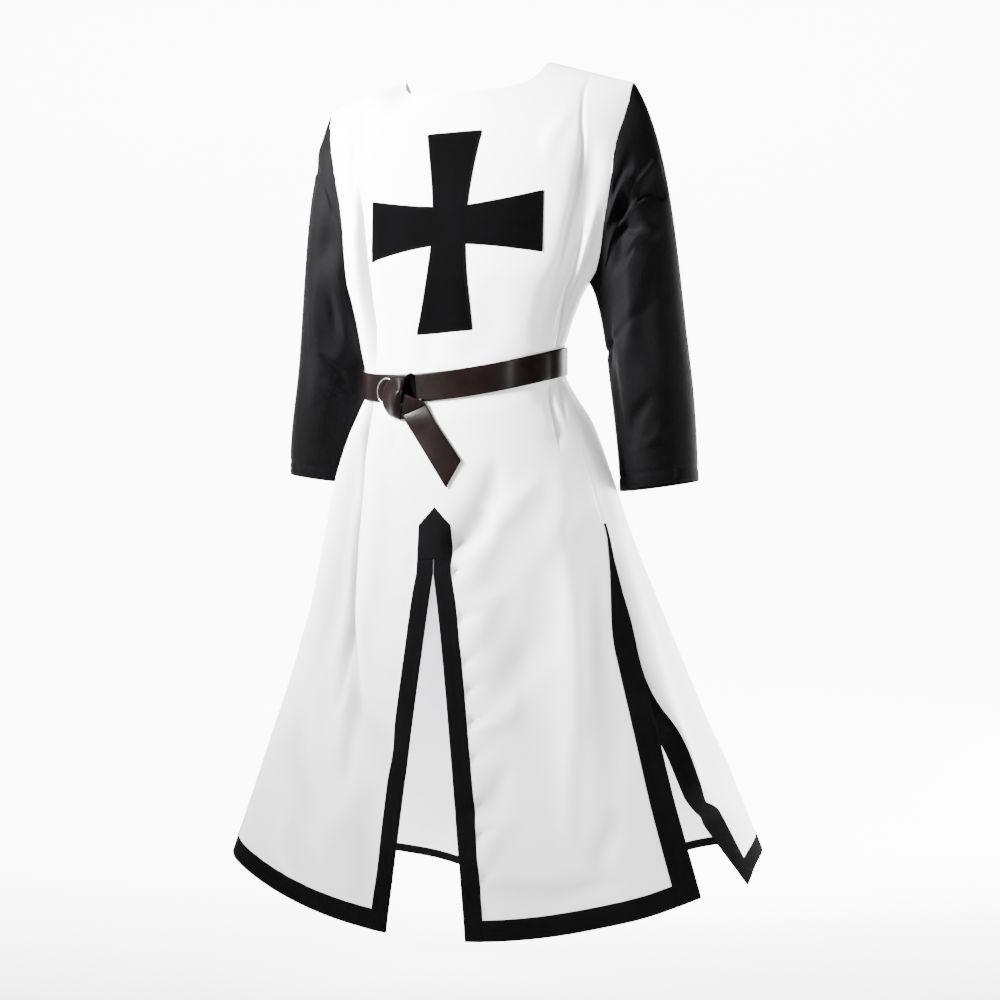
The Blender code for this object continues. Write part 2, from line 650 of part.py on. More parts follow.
def belt(leather, steel):
    """The leather strap, its ring, the turn of strap that ties it, and the hanging end."""
    strap_lift = (SEAM_GAP + LEATHER) / CM

    def strap(round_waist, up):
        return lifted(360 * round_waist, WAIST, strap_lift) + Vector((0, 0, BELT_WIDTH * (up - 0.5)))

    sheet("belt_strap", 72, 1, strap, LEATHER, leather, closed=True)

    def tie(across, up):
        place = (1 - up) * (len(TIE) - 1)
        first = TIE[min(int(place), len(TIE) - 2)]
        second = TIE[min(int(place), len(TIE) - 2) + 1]
        here = [mix(a, b, place - TIE.index(first)) for a, b in zip(first, second)]
        offset, lift, left, right = here
        crown = 0.25 * math.sin(math.pi * across) - 0.25 * smooth((across - 0.55) / 0.45)
        return belt_point(mix(left, right, across), offset, lift + crown * clamp(place))

    sheet("belt_tie", 6, len(TIE) - 1, tie, LEATHER, leather)

    def tail(across, up):
        down = 1 - up
        sideways = BELT_WIDTH * (across - 0.5)
        run = Vector((TAIL_END_X - TAIL_START_X, TAIL_END - TAIL_START))
        way = run.normalized()
        reach = run.length * down + TAIL_CUT * (0.5 - across) * down**4
        x = TAIL_START_X + way.x * reach - way.y * sideways
        height = TAIL_START + way.y * reach + way.x * sideways
        lift = mix(TAIL_LIFT, TAIL_REST_LIFT, smooth((1 - up) * 2.6))
        return lifted(angle_of_x(x, height), height, lift)

    sheet("belt_tail", 4, 10, tail, LEATHER, leather)

    middle = belt_point(RING_X, RING_OFFSET, RING_LIFT)
    facing = (belt_point(RING_X, 0, 1) - belt_point(RING_X, 0, 0)).normalized()
    bpy.ops.mesh.primitive_torus_add(
        major_segments=32,
        minor_segments=8,
        major_radius=RING_RADIUS * CM,
        minor_radius=RING_WIRE * CM,
        location=middle * CM,
        rotation=facing.to_track_quat("Z", "Y").to_euler(),
    )
    ring = bpy.context.object
    ring.name = "belt_ring"
    ring.data.materials.append(steel)
    ring.data.shade_smooth()


def build():
    for old in list(bpy.data.objects):
        bpy.data.objects.remove(old)
    white = finish("white_cloth", (0.86, 0.86, 0.88), 0.6)
    black = finish("black_cloth", (0.012, 0.012, 0.014), 0.5)
    leather = finish("brown_leather", (0.045, 0.025, 0.022), 0.35)
    steel = finish("ring_steel", (0.75, 0.73, 0.7), 0.25, 1.0)
    panel("front_panel", white_front, 1, white)
    panel("back_panel", white_back, -1, white)
    for name in SLEEVES:
        sleeve(name, black)
    slit_bands(black)
    side_bands(black)
    hem_bands(black)
    cross(black)
    belt(leather, steel)


build()
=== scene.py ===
"""Looks of a medieval surcoat: white cloth with creases, black sleeves, cross and bands, and a
leather ring belt tied at the front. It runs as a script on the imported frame."""

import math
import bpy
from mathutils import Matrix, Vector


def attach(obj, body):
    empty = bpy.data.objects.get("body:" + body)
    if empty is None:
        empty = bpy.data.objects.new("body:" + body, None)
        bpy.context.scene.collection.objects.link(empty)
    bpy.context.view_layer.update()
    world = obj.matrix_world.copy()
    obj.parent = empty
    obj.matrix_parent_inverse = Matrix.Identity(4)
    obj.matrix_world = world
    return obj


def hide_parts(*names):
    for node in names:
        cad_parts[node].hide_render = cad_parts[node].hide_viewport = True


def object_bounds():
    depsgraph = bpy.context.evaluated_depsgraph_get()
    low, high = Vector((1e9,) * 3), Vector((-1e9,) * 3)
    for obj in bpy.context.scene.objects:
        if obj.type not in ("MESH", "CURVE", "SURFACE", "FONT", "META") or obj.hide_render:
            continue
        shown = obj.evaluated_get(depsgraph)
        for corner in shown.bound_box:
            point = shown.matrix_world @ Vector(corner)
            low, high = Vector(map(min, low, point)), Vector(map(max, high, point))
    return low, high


bl_info = {
    "name": "Medieval Surcoat",
    "version": (1, 0, 0),
    "blender": (4, 5, 0),
    "location": "View3D > Sidebar > Surcoat",
    "description": "Builds the cloth, trims, belt and stage of a medieval surcoat",
    "category": "Object",
}

from collections import namedtuple

import bmesh
import bpy
import numpy as np
from bpy.props import FloatProperty, FloatVectorProperty, PointerProperty
from mathutils import Matrix, Vector

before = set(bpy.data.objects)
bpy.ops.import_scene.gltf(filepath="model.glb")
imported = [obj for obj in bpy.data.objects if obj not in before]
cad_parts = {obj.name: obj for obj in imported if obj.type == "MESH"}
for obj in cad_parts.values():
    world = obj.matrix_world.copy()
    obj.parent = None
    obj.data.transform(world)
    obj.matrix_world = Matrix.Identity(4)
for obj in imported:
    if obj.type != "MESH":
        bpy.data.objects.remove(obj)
SOLID_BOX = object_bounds()

CM = 0.01
VIEW_TURN = math.radians(24.0)
SIDES = ((1, "left"), (-1, "right"))

# The cut, in centimetres and degrees. Angles run from the centre front (0) through the wearer's
# left side (90) to the centre back (180).
NECK_HALF = 10.4
NECK_DROP_FRONT = 4.2
NECK_DROP_BACK = 2.4
SHOULDER_HALF = 21.6
SHOULDER_SLOPE = 0.32
SHOULDER_TIP = -SHOULDER_SLOPE * (SHOULDER_HALF - NECK_HALF)
SHOULDER_ROLL = 9.0
NECK_FLATTENING = 0.85
NECK_SLUMP = 0.55
CHEST_DRAW = 1.6
UNDERARM = -29.5
WAIST = -40.3
SIDE_SLIT_TOP = -61.5
HEM = -110.5
BAND_WIDTH = 2.6
BAND_ROUNDING = 0.16
FRONT_HEM_RISE = 6.5
FRONT_CORNER = 33.1
BACK_RISE_LEFT = 7.0
BACK_RISE_RIGHT = 1.5
BACK_DROP = 1.8
BACK_RISE_ANGLE = 132.0
BACK_RISE_SPREAD = 30.0
TUCK_SPREAD = 14.0
RIGHT_WRAP = 7.0
PLACKET_TIP = -56.9
PLACKET_SHOULDER = -59.3
PLACKET_SEAM = -63.4
SLIT_TOP = -65.4
PLACKET_HALF = 2.15
SLIT_HALF_AT_HEM = 5.4
SLIT_EASE = 0.35
CROSS_CENTRE = -21.4
CROSS_WAIST_HALF = 2.35
CROSS_END_HALF = 3.75
CROSS_FLARE = 1.35
ARM_TIP = 0.14
ELBOW_AT = 0.66
BELT_WIDTH = 3.6
BELT_ROOM = 2.1
BELT_FACE = 0.29
TILT_FRONT = -1.3
TILT_LEFT = 1.0
TILT_SIDES = 0.45
TILT_REACH = 12.0
TAIL_START_X = -4.4
TAIL_START = -41.4
TAIL_END_X = 2.5
TAIL_END = -52.6
TAIL_CUT = 2.1
RING_X = -7.5
RING_OFFSET = -0.35
RING_LIFT = 0.66
RING_RADIUS = 1.62
RING_WIRE = 0.08

Level = namedtuple(
    "Level",
    "height shift centre half_front half_back front back square_back front_edge back_edge tuck",
)
LEVELS = [Level(*row) for row in (
    (-1, 0, 0, 22.8, 22.8, 6.6, 7.4, 2, 71.3, 108.7, 0),
    (-5.5, 0, 0, 22.8, 22.8, 6.8, 8.2, 2, 70.2, 110, 0),
    (-12, 0, -0.2, 22.8, 22.8, 7.9, 9.4, 2, 63, 117, 0),
    (-16.5, -0.1, -0.4, 22, 22, 8.3, 10, 2, 64.5, 117, 0),
    (-21.7, -0.3, -1, 20.6, 20.6, 8.3, 10.2, 2, 69, 113, 0),
    (-27.4, -0.5, -1.8, 18.4, 18.4, 8.3, 9.8, 2, 81, 99, 0),
    (-29.5, -0.7, -2.1, 17, 17, 8.2, 9.5, 2, 90, 90, 0),
    (-32.5, -0.7, -2.4, 15.7, 15.7, 8.3, 9.2, 2, 90, 90, 0),
    (-36.5, -0.6, -3, 14.4, 14.4, 8.6, 8.8, 2, 88, 88, 0),
    (-38.2, -0.5, -3.5, 13.8, 13.8, 8.7, 8.6, 2, 87, 87, 0),
    (-40.3, -0.5, -3.5, 13.7, 13.7, 8.7, 8.6, 2, 86, 86, 0),
    (-42.4, -0.5, -3.5, 13.8, 13.8, 8.7, 8.6, 2, 84, 84, 0),
    (-44.6, -0.5, -3.2, 14.9, 14.9, 9.5, 9.4, 2, 82, 82, 0),
    (-48, -0.4, -2.5, 16.9, 16.9, 10.4, 10.8, 2, 79, 79, 0),
    (-54.6, -0.3, -1.6, 19.1, 19.1, 11.8, 12.6, 2, 73.5, 73.5, 0),
    (-61.5, -0.2, -0.8, 20.9, 20.9, 13, 14.6, 2.1, 70.8, 70.8, 0.12),
    (-73.4, 0, -0.7, 24.6, 24.4, 13.6, 18.4, 2.5, 67.5, 61.5, 1.8),
    (-80, 0, -0.75, 26.8, 26.3, 13.9, 20.3, 2.8, 66.2, 58.5, 2.8),
    (-85.8, 0, -0.8, 28.8, 28, 14.2, 22, 3, 65, 61, 4.3),
    (-90, 0, -0.84, 30.3, 29.3, 14.4, 23.2, 3.1, 64, 68.5, 4.9),
    (-97, 0, -0.9, 32.8, 31.4, 14.8, 25.2, 3.3, 62.5, 95, 2.6),
    (-101, 0, -0.93, 34.3, 32.3, 15, 26, 3.4, 61.9, 104.5, 3.2),
    (-110.5, 0, -1, 38, 34.5, 15.5, 28, 3.6, 60.6, 111, 0.6),
)]

# Folds of the cloth: a trough has a negative depth, in centimetres; fade is the length over which
# a fold grows at each of its ends.
Fold = namedtuple("Fold", "angle_top top angle_bottom bottom width depth fade", defaults=[0.0])
FOLDS = [Fold(*row) for row in (
    (-42, -2, -38, -15, 1.8, -0.5, 5), (-38, -12, -42, -39, 1.9, -0.8, 7),
    (48, -9, 64, -39.2, 1.6, -0.8, 7), (-51, -42, -30, -92, 2.7, -1.4, 14),
    (66, -42, 56, -51.5, 1.3, -0.5, 3), (80, -43, 72, -64, 1.8, -0.8, 6),
    (-80, -43, -72, -64, 1.8, -0.6, 6), (-76, -58, -66, -150, 2.8, -2.6, 18),
    (20, -56, 34, -100, 4, -0.7, 15), (46, -60, 45, -150, 4, 0.6, 20),
    (132, -84, 132, -200, 5.5, 2.8, 34), (-132, -70, -132, -200, 5.5, 2.4, 40),
    (158, -46, 156, -150, 4, -1.8, 40), (-160, -46, -158, -150, 4, -1.6, 40),
    (118, -12, 108, -39, 2.4, -0.9, 8), (-118, -12, -108, -39, 2.4, -0.9, 8),
    (150, -28, 146, -39.4, 1.8, -0.6, 4), (-150, -28, -146, -39.4, 1.8, -0.6, 4),
)]
BODY_TURN = 0.014
# Finer creases, drawn from one point to another. A ridge has a positive depth, and a positive skew
# makes the side of the higher angle the gentler one.
Crease = namedtuple("Crease", "angle_start start angle_end end width depth skew", defaults=[0.0])
CREASES = [Crease(*row) for row in (
    # left shoulder and chest
    (-45.5, -9, -46, -18, 0.7, -0.2), (-53, -16, -50, -39, 1, 0.3),
    (-42.5, -15, -42.5, -43.5, 0.6, -1.7, 0.4), (-34, -22, -35, -39.5, 1.3, 0.18),
    # right shoulder and chest
    (45.5, -1.5, 45, -8.5, 0.5, -0.12), (39.5, -6, 33, -14.5, 1.2, 0.22),
    (45.5, -4, 51.5, -21, 0.35, -0.3), (47.5, -9, 60, -33, 0.4, -0.4),
    (56.5, -21.5, 65, -48, 0.42, -1.25), (59, -18, 74, -39.5, 1, 0.4),
    (66, -20, 82, -39.5, 1.2, -0.55),
    # over the belt
    (-5, -32.5, -9, -39, 1.2, -0.14), (10, -32.5, 7, -39, 1.4, 0.16), (27, -28, 17, -39.5, 2, -0.2),
    (-24, -35, -28, -39.5, 1, -0.12),
    # under the belt, wearer's right
    (-48.4, -35.5, -43, -57.5, 0.8, -1.9), (-51, -46, -37, -72, 0.85, -2.1),
    (-42.5, -58, -30.6, -85, 0.9, -1.6), (-37.6, -66, -21.5, -94, 1.3, -1.2),
    (-56, -43, -44, -84, 1.9, -0.8), (-63, -46, -54, -82, 1.8, 0.6),
    (-37, -44, -22, -82, 1.7, 0.55), (-29, -80.5, -7, -91.5, 1.9, -0.6),
    (-47, -86, -33, -101, 2.3, -0.6), (-42, -99, -33, -108, 1.8, 0.5),
    (-20, -92, -25, -105, 2.2, 0.55), (-14, -92, -16, -108, 1.8, -0.5),
    (-24, -42.5, -22, -50, 0.8, -0.14),
    # under the belt, wearer's left
    (69.5, -39.5, 57, -51.2, 0.3, -0.5), (73, -42.5, 62.5, -50, 0.6, 0.16),
    (63.5, -42.5, 53.5, -50, 0.6, 0.16), (6, -64, 29, -51.5, 1.6, -0.75),
    (6, -64.5, 22, -57.5, 1.3, -0.85), (8, -67.5, 44, -53, 1.8, 0.5), (54, -53, 44, -65, 2, 0.5),
    (42, -65, 20, -83, 2.5, -0.6), (7, -75, 26, -67.5, 1.6, 0.4), (51, -60, 33, -101, 1.5, 0.6),
    (59, -66, 41, -100, 2.3, -0.6), (12, -86.5, 25, -80.5, 1.5, 0.4), (8, -96, 22, -90, 1.6, -0.55),
    (8, -101.5, 22, -95.5, 1.4, 0.4), (10, -104.3, 44, -106, 1.3, -0.65),
    (45, -96, 38, -105, 1.6, -0.45), (78, -46, 69.6, -62, 0.35, -0.45),
    (79, -41, 72, -66, 1.8, 0.5),
    # sides and back
    (96, -34, 99, -42, 1, -0.3), (112, -20, 104, -39.5, 1.1, -0.45, 0.3),
    (124, -16, 114, -39, 1.4, 0.3), (139, -24, 130, -39.5, 1.1, -0.4),
    (168, -26, 171, -39.5, 1.5, -0.26), (-112, -18, -103, -39.5, 1.1, -0.45, -0.3),
    (-126, -16, -117, -39, 1.4, 0.3), (-141, -26, -134, -39.5, 1.1, -0.38),
    (-165, -22, -168, -39.5, 1.7, -0.24), (135, -5, 128, -22, 1.4, -0.3),
    (-137, -5, -131, -20, 1.4, -0.3), (128, -44, 134, -90, 2, 0.85),
    (126, -43.5, 122, -84, 1.5, -0.5), (141, -44, 138, -74, 1.4, -0.45, 0.3),
    (150, -60, 146, -104, 2.6, 1.04), (172, -43.5, 168, -86, 1.6, -0.5),
    (-176, -64, -178, -106, 2.8, 0.95), (-170, -44, -163, -70, 1.4, -0.35),
    (-128, -46, -134, -94, 2, 0.85), (-127, -43.5, -124, -80, 1.5, -0.5),
    (-145, -44, -143, -88, 1.7, -0.95), (-152, -70, -150, -106, 2.4, 0.76),
)]
# Short puckers where the front slit's bands are sewn on, and their heights.
PUCKER_DEPTH = 0.5
PUCKER_WIDTH = 0.48
PUCKER_REACH = 2.1
PUCKERS = [-62.0, -65.3, -71.0, -76.5, -80.0, -83.8, -88.4, -94.0, -97.6, -102.8, -106.6]

Arm = namedtuple("Arm", "side_step up_step reach")
ARMS = [Arm(0, 1, 11.8), Arm(0, -1, 12.5), Arm(1, 0, 12.1), Arm(-1, 0, 11.9)]

Sleeve = namedtuple(
    "Sleeve", "side elbow_x elbow_y elbow_z elbow_half cuff_x cuff_y cuff_z cuff_half leaving"
)
SLEEVES = {
    "sleeve_left": Sleeve(1, 23.2, 1.0, -39.3, 5.2, 24.1, 2.4, -54.6, 5.0, 14.0),
    "sleeve_right": Sleeve(-1, 22.3, 1.9, -38.6, 5.1, 25.0, 3.9, -53.6, 4.9, 11.5),
}
SLEEVE_LENGTH = 52.0
SLEEVE_ROUND = 32.0
SLEEVE_TURN = 0.088
CUFF_SEAM = 0.962
# Folds and finer creases of the sleeves: angles run round the arm, and heights are shares of the
# sleeve's length from the shoulder. A fold's width is in degrees and a crease's in centimetres.
SLEEVE_FOLDS = [Fold(*row) for row in (
    (125, 0.02, 60, 0.42, 16, -0.6), (150, 0.1, 100, 0.6, 14, -0.5), (95, 0, 30, 0.25, 14, -0.4),
    (235, 0.02, 300, 0.42, 16, -0.6), (140, 0.5, 120, 0.95, 16, -0.45),
    (210, 0.4, 240, 0.9, 18, -0.4),
)]
SLEEVE_CREASES = {
    "sleeve_left": [Crease(*row) for row in (
        (114, 0, 62, 0.215, 0.75, 0.83), (70, 0.19, 8, 0.255, 0.8, 0.63),
        (108, 0.08, 58, 0.26, 0.8, -1.05), (66, 0.235, 6, 0.305, 0.9, -0.9),
        (92, 0.03, 62, 0.155, 0.8, -0.6), (112, 0.15, 40, 0.335, 0.7, 0.83),
        (122, 0.12, 54, 0.352, 0.6, -0.9), (104, 0.285, 36, 0.375, 0.8, 0.6),
        (132, 0.13, 84, 0.345, 1.1, -0.98), (92, 0.32, 116, 0.88, 1.3, 0.42),
        (60, 0.4, 74, 0.7, 1.5, -0.3), (76, 0.735, 118, 0.885, 1.1, -0.45),
        (60, 0.83, 86, 0.9, 0.9, 0.3), (150, 0.2, 144, 0.7, 1.2, -0.68),
        (230, 0.1, 300, 0.3, 0.8, -0.75), (222, 0.2, 290, 0.38, 0.8, 0.68),
        (240, 0.55, 290, 0.66, 0.9, -0.6), (236, 0.68, 280, 0.76, 1, 0.45),
        (20, 0.5, 350, 0.6, 1.2, -0.27), (40, 0.955, 46, 0.995, 0.5, -0.22),
    )],
    "sleeve_right": [Crease(*row) for row in (
        (130, -0.06, 132, 0.74, 2.2, 1), (60, 0.04, -40, 0.25, 0.8, 0.3),
        (74, 0.08, -40, 0.31, 1, -0.4), (84, 0.1, 20, 0.2, 0.7, 0.38),
        (80, 0.34, 86, 0.8, 1.3, 0.45), (112, 0.3, 116, 0.6, 1.2, -0.45),
        (96, 0.6, 140, 0.72, 0.9, -0.6), (102, 0.69, 150, 0.78, 0.9, 0.45),
        (230, 0.1, 300, 0.3, 0.8, -0.75), (222, 0.2, 290, 0.38, 0.8, 0.68),
        (250, 0.58, 300, 0.68, 0.9, -0.6), (60, 0.96, 66, 0.995, 0.5, -0.22),
    )],
}


def clamp(value):
    return np.clip(value, 0.0, 1.0)


def smooth(value):
    value = clamp(value)
    return value * value * (3 - 2 * value)


def bell(away):
    """1 in the middle, falling smoothly to almost nothing 2 away."""
    return np.exp(-away * away)


def mix(a, b, share):
    return a + (b - a) * share


def hermite(a, slope_a, b, slope_b, share):
    """Cubic from a to b with the two end slopes."""
    square, cube = share * share, share * share * share
    return (
        a * (2 * cube - 3 * square + 1)
        + slope_a * (cube - 2 * square + share)
        + b * (3 * square - 2 * cube)
        + slope_b * (cube - square)
    )


def level_row(height):
    """The row of the body at one height, with every column read from a smooth curve."""
    height = min(LEVELS[0].height, max(LEVELS[-1].height, height))
    low = next(i for i in range(1, len(LEVELS)) if height >= LEVELS[i].height)
    above, below = LEVELS[low - 1], LEVELS[low]
    before, after = LEVELS[max(low - 2, 0)], LEVELS[min(low + 1, len(LEVELS) - 1)]
    span = below.height - above.height
    share = (height - above.height) / span
    values = []
    for first, a, b, last in zip(before, above, below, after):
        slope_a = (b - first) * span / (below.height - before.height)
        slope_b = (last - a) * span / (after.height - above.height)
        values.append(hermite(a, slope_a, b, slope_b, share))
    found = Level(*values)
    if above.front_edge == above.back_edge and below.front_edge == below.back_edge:
        found = found._replace(back_edge=found.front_edge)
    return found


HEIGHTS = np.arange(-1128, 1) / 10.0
BODY = np.array([level_row(height) for height in HEIGHTS])


def level(column, height):
    """One column of the body's table at an array of heights."""
    return np.interp(height, HEIGHTS, BODY[:, Level._fields.index(column)])


def from_front(angle):
    """Degrees between an angle and the centre front, 0 to 180."""
    return np.abs((angle + 180) % 360 - 180)


def ring_point(angle, height):
    """Plan position on the body's ring at a level, in centimetres, before its folds."""
    height = np.where(np.abs(height - WAIST) < BELT_ROOM + 0.05, WAIST, height)
    share = smooth((from_front(angle) - 60) / 60)
    half = mix(level("half_front", height), level("half_back", height), share)
    turn = np.radians(angle)
    aside, ahead = np.sin(turn), np.cos(turn)
    square = level("square_back", height)
    reach = (np.abs(aside) ** square + np.abs(ahead) ** square) ** (1 / square)
    reach = np.where(ahead > 0, 1.0, reach)
    depth = np.where(ahead > 0, level("front", height), level("back", height))
    x = level("shift", height) + half * aside / reach
    return x, level("centre", height) - depth * ahead / reach


def hem_rise(angle, height):
    """How far the cloth at this level is lifted above it: none at the waist."""
    share = clamp((WAIST - height) / (WAIST - HEM))
    x, y = ring_point(angle, np.full_like(height, HEM))
    front = FRONT_HEM_RISE * (x / FRONT_CORNER) ** 2
    away = (from_front(angle) - BACK_RISE_ANGLE) / BACK_RISE_SPREAD
    back = mix(BACK_RISE_RIGHT, BACK_RISE_LEFT, smooth(0.5 + x / 24)) * bell(away)
    back = back - BACK_DROP * smooth((from_front(angle) - 120) / 60)
    return share * mix(front, back, smooth((from_front(angle) - 72) / 25))


def waist_tilt(angle, height):
    """The waist sits lower at the front and at the wearer's right, where the belt is tied."""
    away = (height - WAIST) / TILT_REACH
    turn = np.radians(angle)
    tilt = TILT_FRONT * np.cos(turn) + TILT_LEFT * np.sin(turn) - TILT_SIDES * np.cos(2 * turn)
    return tilt * bell(away)


def wander(across, along, seed):
    """A soft uneven wave, about -1 to 1, that repeats nowhere on the garment."""
    total = np.zeros_like(across)
    for step in range(1, 5):
        a = math.sin(seed * 12.9 + step * 78.2)
        b = math.cos(seed * 39.4 + step * 11.1)
        total = total + np.sin(across * (0.8 + a) + along * (0.7 + b) * 0.6 + seed * step * 2.1)
    return total / 4


def crease_lift(across, along, ends, crease):
    """Lift of one crease over cloth coordinates in centimetres: it tapers towards its ends."""
    (x, y), (x_end, y_end) = ends
    run_x, run_y = x_end - x, y_end - y
    length = math.hypot(run_x, run_y)
    share = ((across - x) * run_x + (along - y) * run_y) / length**2
    aside = ((across - x) * run_y - (along - y) * run_x) / length
    aside = aside + 0.35 * crease.width * np.sin(share * 7.0 + x + y)
    width = crease.width * (0.55 + 0.45 * np.sin(math.pi * clamp(share)))
    width = width * (1 + crease.skew * np.tanh(-aside / crease.width * np.sign(run_y)))
    return crease.depth * bell(aside / width) * np.sin(math.pi * clamp(share)) ** 0.8


def painted_crease_shade(angle, height):
    """How deep in a crease the cloth lies, 0 to 1: the cloth's colour is darkened there as painted
    shade.
    """
    return clamp(-crease_lifts(angle, height) / 1.6)


def crease_lifts(angle, height):
    """Lift of all the finer creases of the body."""
    def cloth_place(turned, at):
        return turned * level("half_front", at) * BODY_TURN, at

    across, along = cloth_place((angle + 180) % 360 - 180, height)
    lift = np.zeros_like(height)
    for crease in CREASES:
        start = cloth_place(crease.angle_start, crease.start)
        end = cloth_place(crease.angle_end, crease.end)
        lift += crease_lift(across, along, (start, end), crease)
    return lift * smooth((np.abs(height - WAIST) - 1.5) / 2)


def fold_lift(angle, height):
    """Outward lift of the cloth by its folds, creases and the pull of its seams."""
    lift = crease_lifts(angle, height)
    x, y = ring_point(angle, height)
    for fold in FOLDS:
        along = (fold.top - height) / (fold.top - fold.bottom)
        line = mix(fold.angle_top, fold.angle_bottom, clamp(along))
        fold_x, fold_y = ring_point(line, height)
        away = np.hypot(x - fold_x, y - fold_y) / fold.width
        ends = smooth((fold.top - height) / fold.fade) * smooth((height - fold.bottom) / fold.fade)
        ends = np.where((along > 0) & (along < 1), ends, 0.0)
        lift += fold.depth * bell(away) * ends
    return lift + seam_pull(angle, height, x)


def seam_pull(angle, height, x):
    """Small puckers beside the seams of the trims and a faint unevenness all over."""
    front = from_front(angle) < 90
    waist = smooth((np.abs(height - WAIST) - 2.0) / 3)
    lift = 0.035 * wander(x * 0.5, height * 0.22, 3.0) * waist
    out = np.abs(x) - placket_half(height)
    for step, pucker in enumerate(PUCKERS):
        tilt = height - pucker - out * (0.25 + 0.12 * math.sin(step * 2.3)) - 0.8 * (x < 0)
        reach = PUCKER_REACH + 0.7 * math.sin(step * 4.1)
        notch = bell(tilt / PUCKER_WIDTH) * bell(out / reach) * smooth(out / 0.5)
        depth = (PUCKER_DEPTH + 0.16 * math.sin(step * 1.7)) * np.where(x > 0, 1.0, 0.4)
        lift -= np.where(front & (height < PLACKET_TIP), depth * notch, 0.0)
    hem = height - HEM - BAND_WIDTH
    return lift + 0.03 * np.sin(x * 2.1 + 1.7 * np.sin(x * 0.53)) * bell(hem)


def surface(angle, height, inward=0.0):
    """Points of the cloth's outer face, in centimetres, moved inwards where it is tucked."""
    x, y = ring_point(angle, height)
    x_next, y_next = ring_point(angle + 0.5, height)
    run = np.hypot(x_next - x, y_next - y)
    lift = (fold_lift(angle, height) - inward) / run
    x, y = x + (y_next - y) * lift, y - (x_next - x) * lift
    below_seam = (-SHOULDER_SLOPE * (np.abs(x) - NECK_HALF) - height) / SHOULDER_ROLL
    roll = np.sqrt(1 - (1 - clamp(below_seam)) ** 2)
    # On the wearer's right the neck point lies flatter and lower, and the chest draws in.
    y = y * (1 - NECK_FLATTENING * bell((x + 9.5) / 3.0) * bell(np.minimum(height, 0.0) / 3.4))
    slump = -NECK_SLUMP * bell((x + 11.0) / 5.0) * smooth((height + 7) / 7)
    x = x + CHEST_DRAW * bell((height + 20.5) / 10.0) * smooth((-x - 12.0) / 9.0)
    height = height + slump + hem_rise(angle, height) + waist_tilt(angle, height)
    return np.stack([x, y * roll, height], -1)


def back_surface(angle, height):
    """Points of the back panel's outer face: its edges are tucked behind the front panel."""
    before = 1 - clamp((from_front(angle) - level("back_edge", height)) / TUCK_SPREAD)
    return surface(angle, height, level("tuck", height) * before * before)


def lifted(angle, height, lift, form=surface):
    """Points that stand off the cloth's outer face by a lift, in centimetres."""
    across = form(angle + 0.4, height) - form(angle - 0.4, height)
    along = form(angle, height + 0.15) - form(angle, height - 0.15)
    outward = np.cross(across, along)
    outward /= np.linalg.norm(outward, axis=-1, keepdims=True)
    return form(angle, height) + outward * np.asarray(lift)[..., None]


def angle_of_x(x, height):
    """The front angle whose ring point has this x, in centimetres."""
    share = (x - level("shift", height)) / level("half_front", height)
    return np.degrees(np.arcsin(np.clip(share, -1.0, 1.0)))


def angle_step(angle, height, width):
    """The turn that covers a width of cloth, in centimetres, from an angle at a level."""
    turned = np.asarray(angle, float) + 0.0 * height
    start = turned
    for _ in range(10):
        x, y = ring_point(turned + 0.5, height)
        x_back, y_back = ring_point(turned - 0.5, height)
        turned = turned + width / 10 / np.hypot(x - x_back, y - y_back)
    return turned - start


def front_edge(side, height):
    """Angle of the front panel's side edge: the wearer's right one wraps further round."""
    wrap = RIGHT_WRAP * smooth((SIDE_SLIT_TOP - 6 - height) / 20) if side < 0 else 0.0
    return side * (level("front_edge", height) + wrap)


def placket_half(height):
    """Half width of the black placket and slit bands at a level."""
    point = PLACKET_HALF * clamp((PLACKET_TIP - height) / (PLACKET_TIP - PLACKET_SHOULDER))
    below = PLACKET_HALF + slit_half(height) + SLIT_EASE * clamp((PLACKET_SHOULDER - height) / 10)
    return np.where(height > PLACKET_SHOULDER, point, below)


def slit_half(height):
    """Half width of the open front slit at a level."""
    return SLIT_HALF_AT_HEM * clamp((SLIT_TOP - height) / (SLIT_TOP - HEM)) ** 0.9


def side_band_width(height):
    """The side bands run out into the seam at the top of the side slit."""
    return BAND_WIDTH * (0.12 + 0.88 * smooth((SIDE_SLIT_TOP - height) / 17))


# ---------------------------------------------------------------- cloth in Blender

def mesh_of(name, shape):
    """The mesh of a finished shape."""
    mesh = bpy.data.meshes.new(name)
    shape.to_mesh(mesh)
    shape.free()
    return mesh


def linked(name, data):
    """A new object of the scene."""
    made = bpy.data.objects.new(name, data)
    bpy.context.scene.collection.objects.link(made)
    return made


def grid_mesh(name, columns, rows, place):
    """A grid whose points place(u, v) sets: it returns points and cut places in centimetres."""
    shape = bmesh.new()
    bmesh.ops.create_grid(shape, x_segments=columns, y_segments=rows, size=0.5)
    mesh = mesh_of(name, shape)
    flat = np.empty(len(mesh.vertices) * 3)
    mesh.vertices.foreach_get("co", flat)
    flat = flat.reshape(-1, 3) + 0.5
    points, cut, *crease_shade = place(flat[:, 0], flat[:, 1])
    mesh.vertices.foreach_set("co", (points * CM).ravel())
    corner = np.empty(len(mesh.loops), np.int32)
    mesh.loops.foreach_get("vertex_index", corner)
    layer = mesh.uv_layers.new(name="cut")
    layer.uv.foreach_set("vector", (np.stack(cut, -1)[corner] * CM).ravel())
    # The place may also give how deep each point lies in a crease, kept as an attribute for the
    # painted shade of the cloth.
    if crease_shade:
        shade = mesh.attributes.new("crease_shade", "FLOAT", "POINT")
        shade.data.foreach_set("value", crease_shade[0])
    mesh.update()
    return mesh


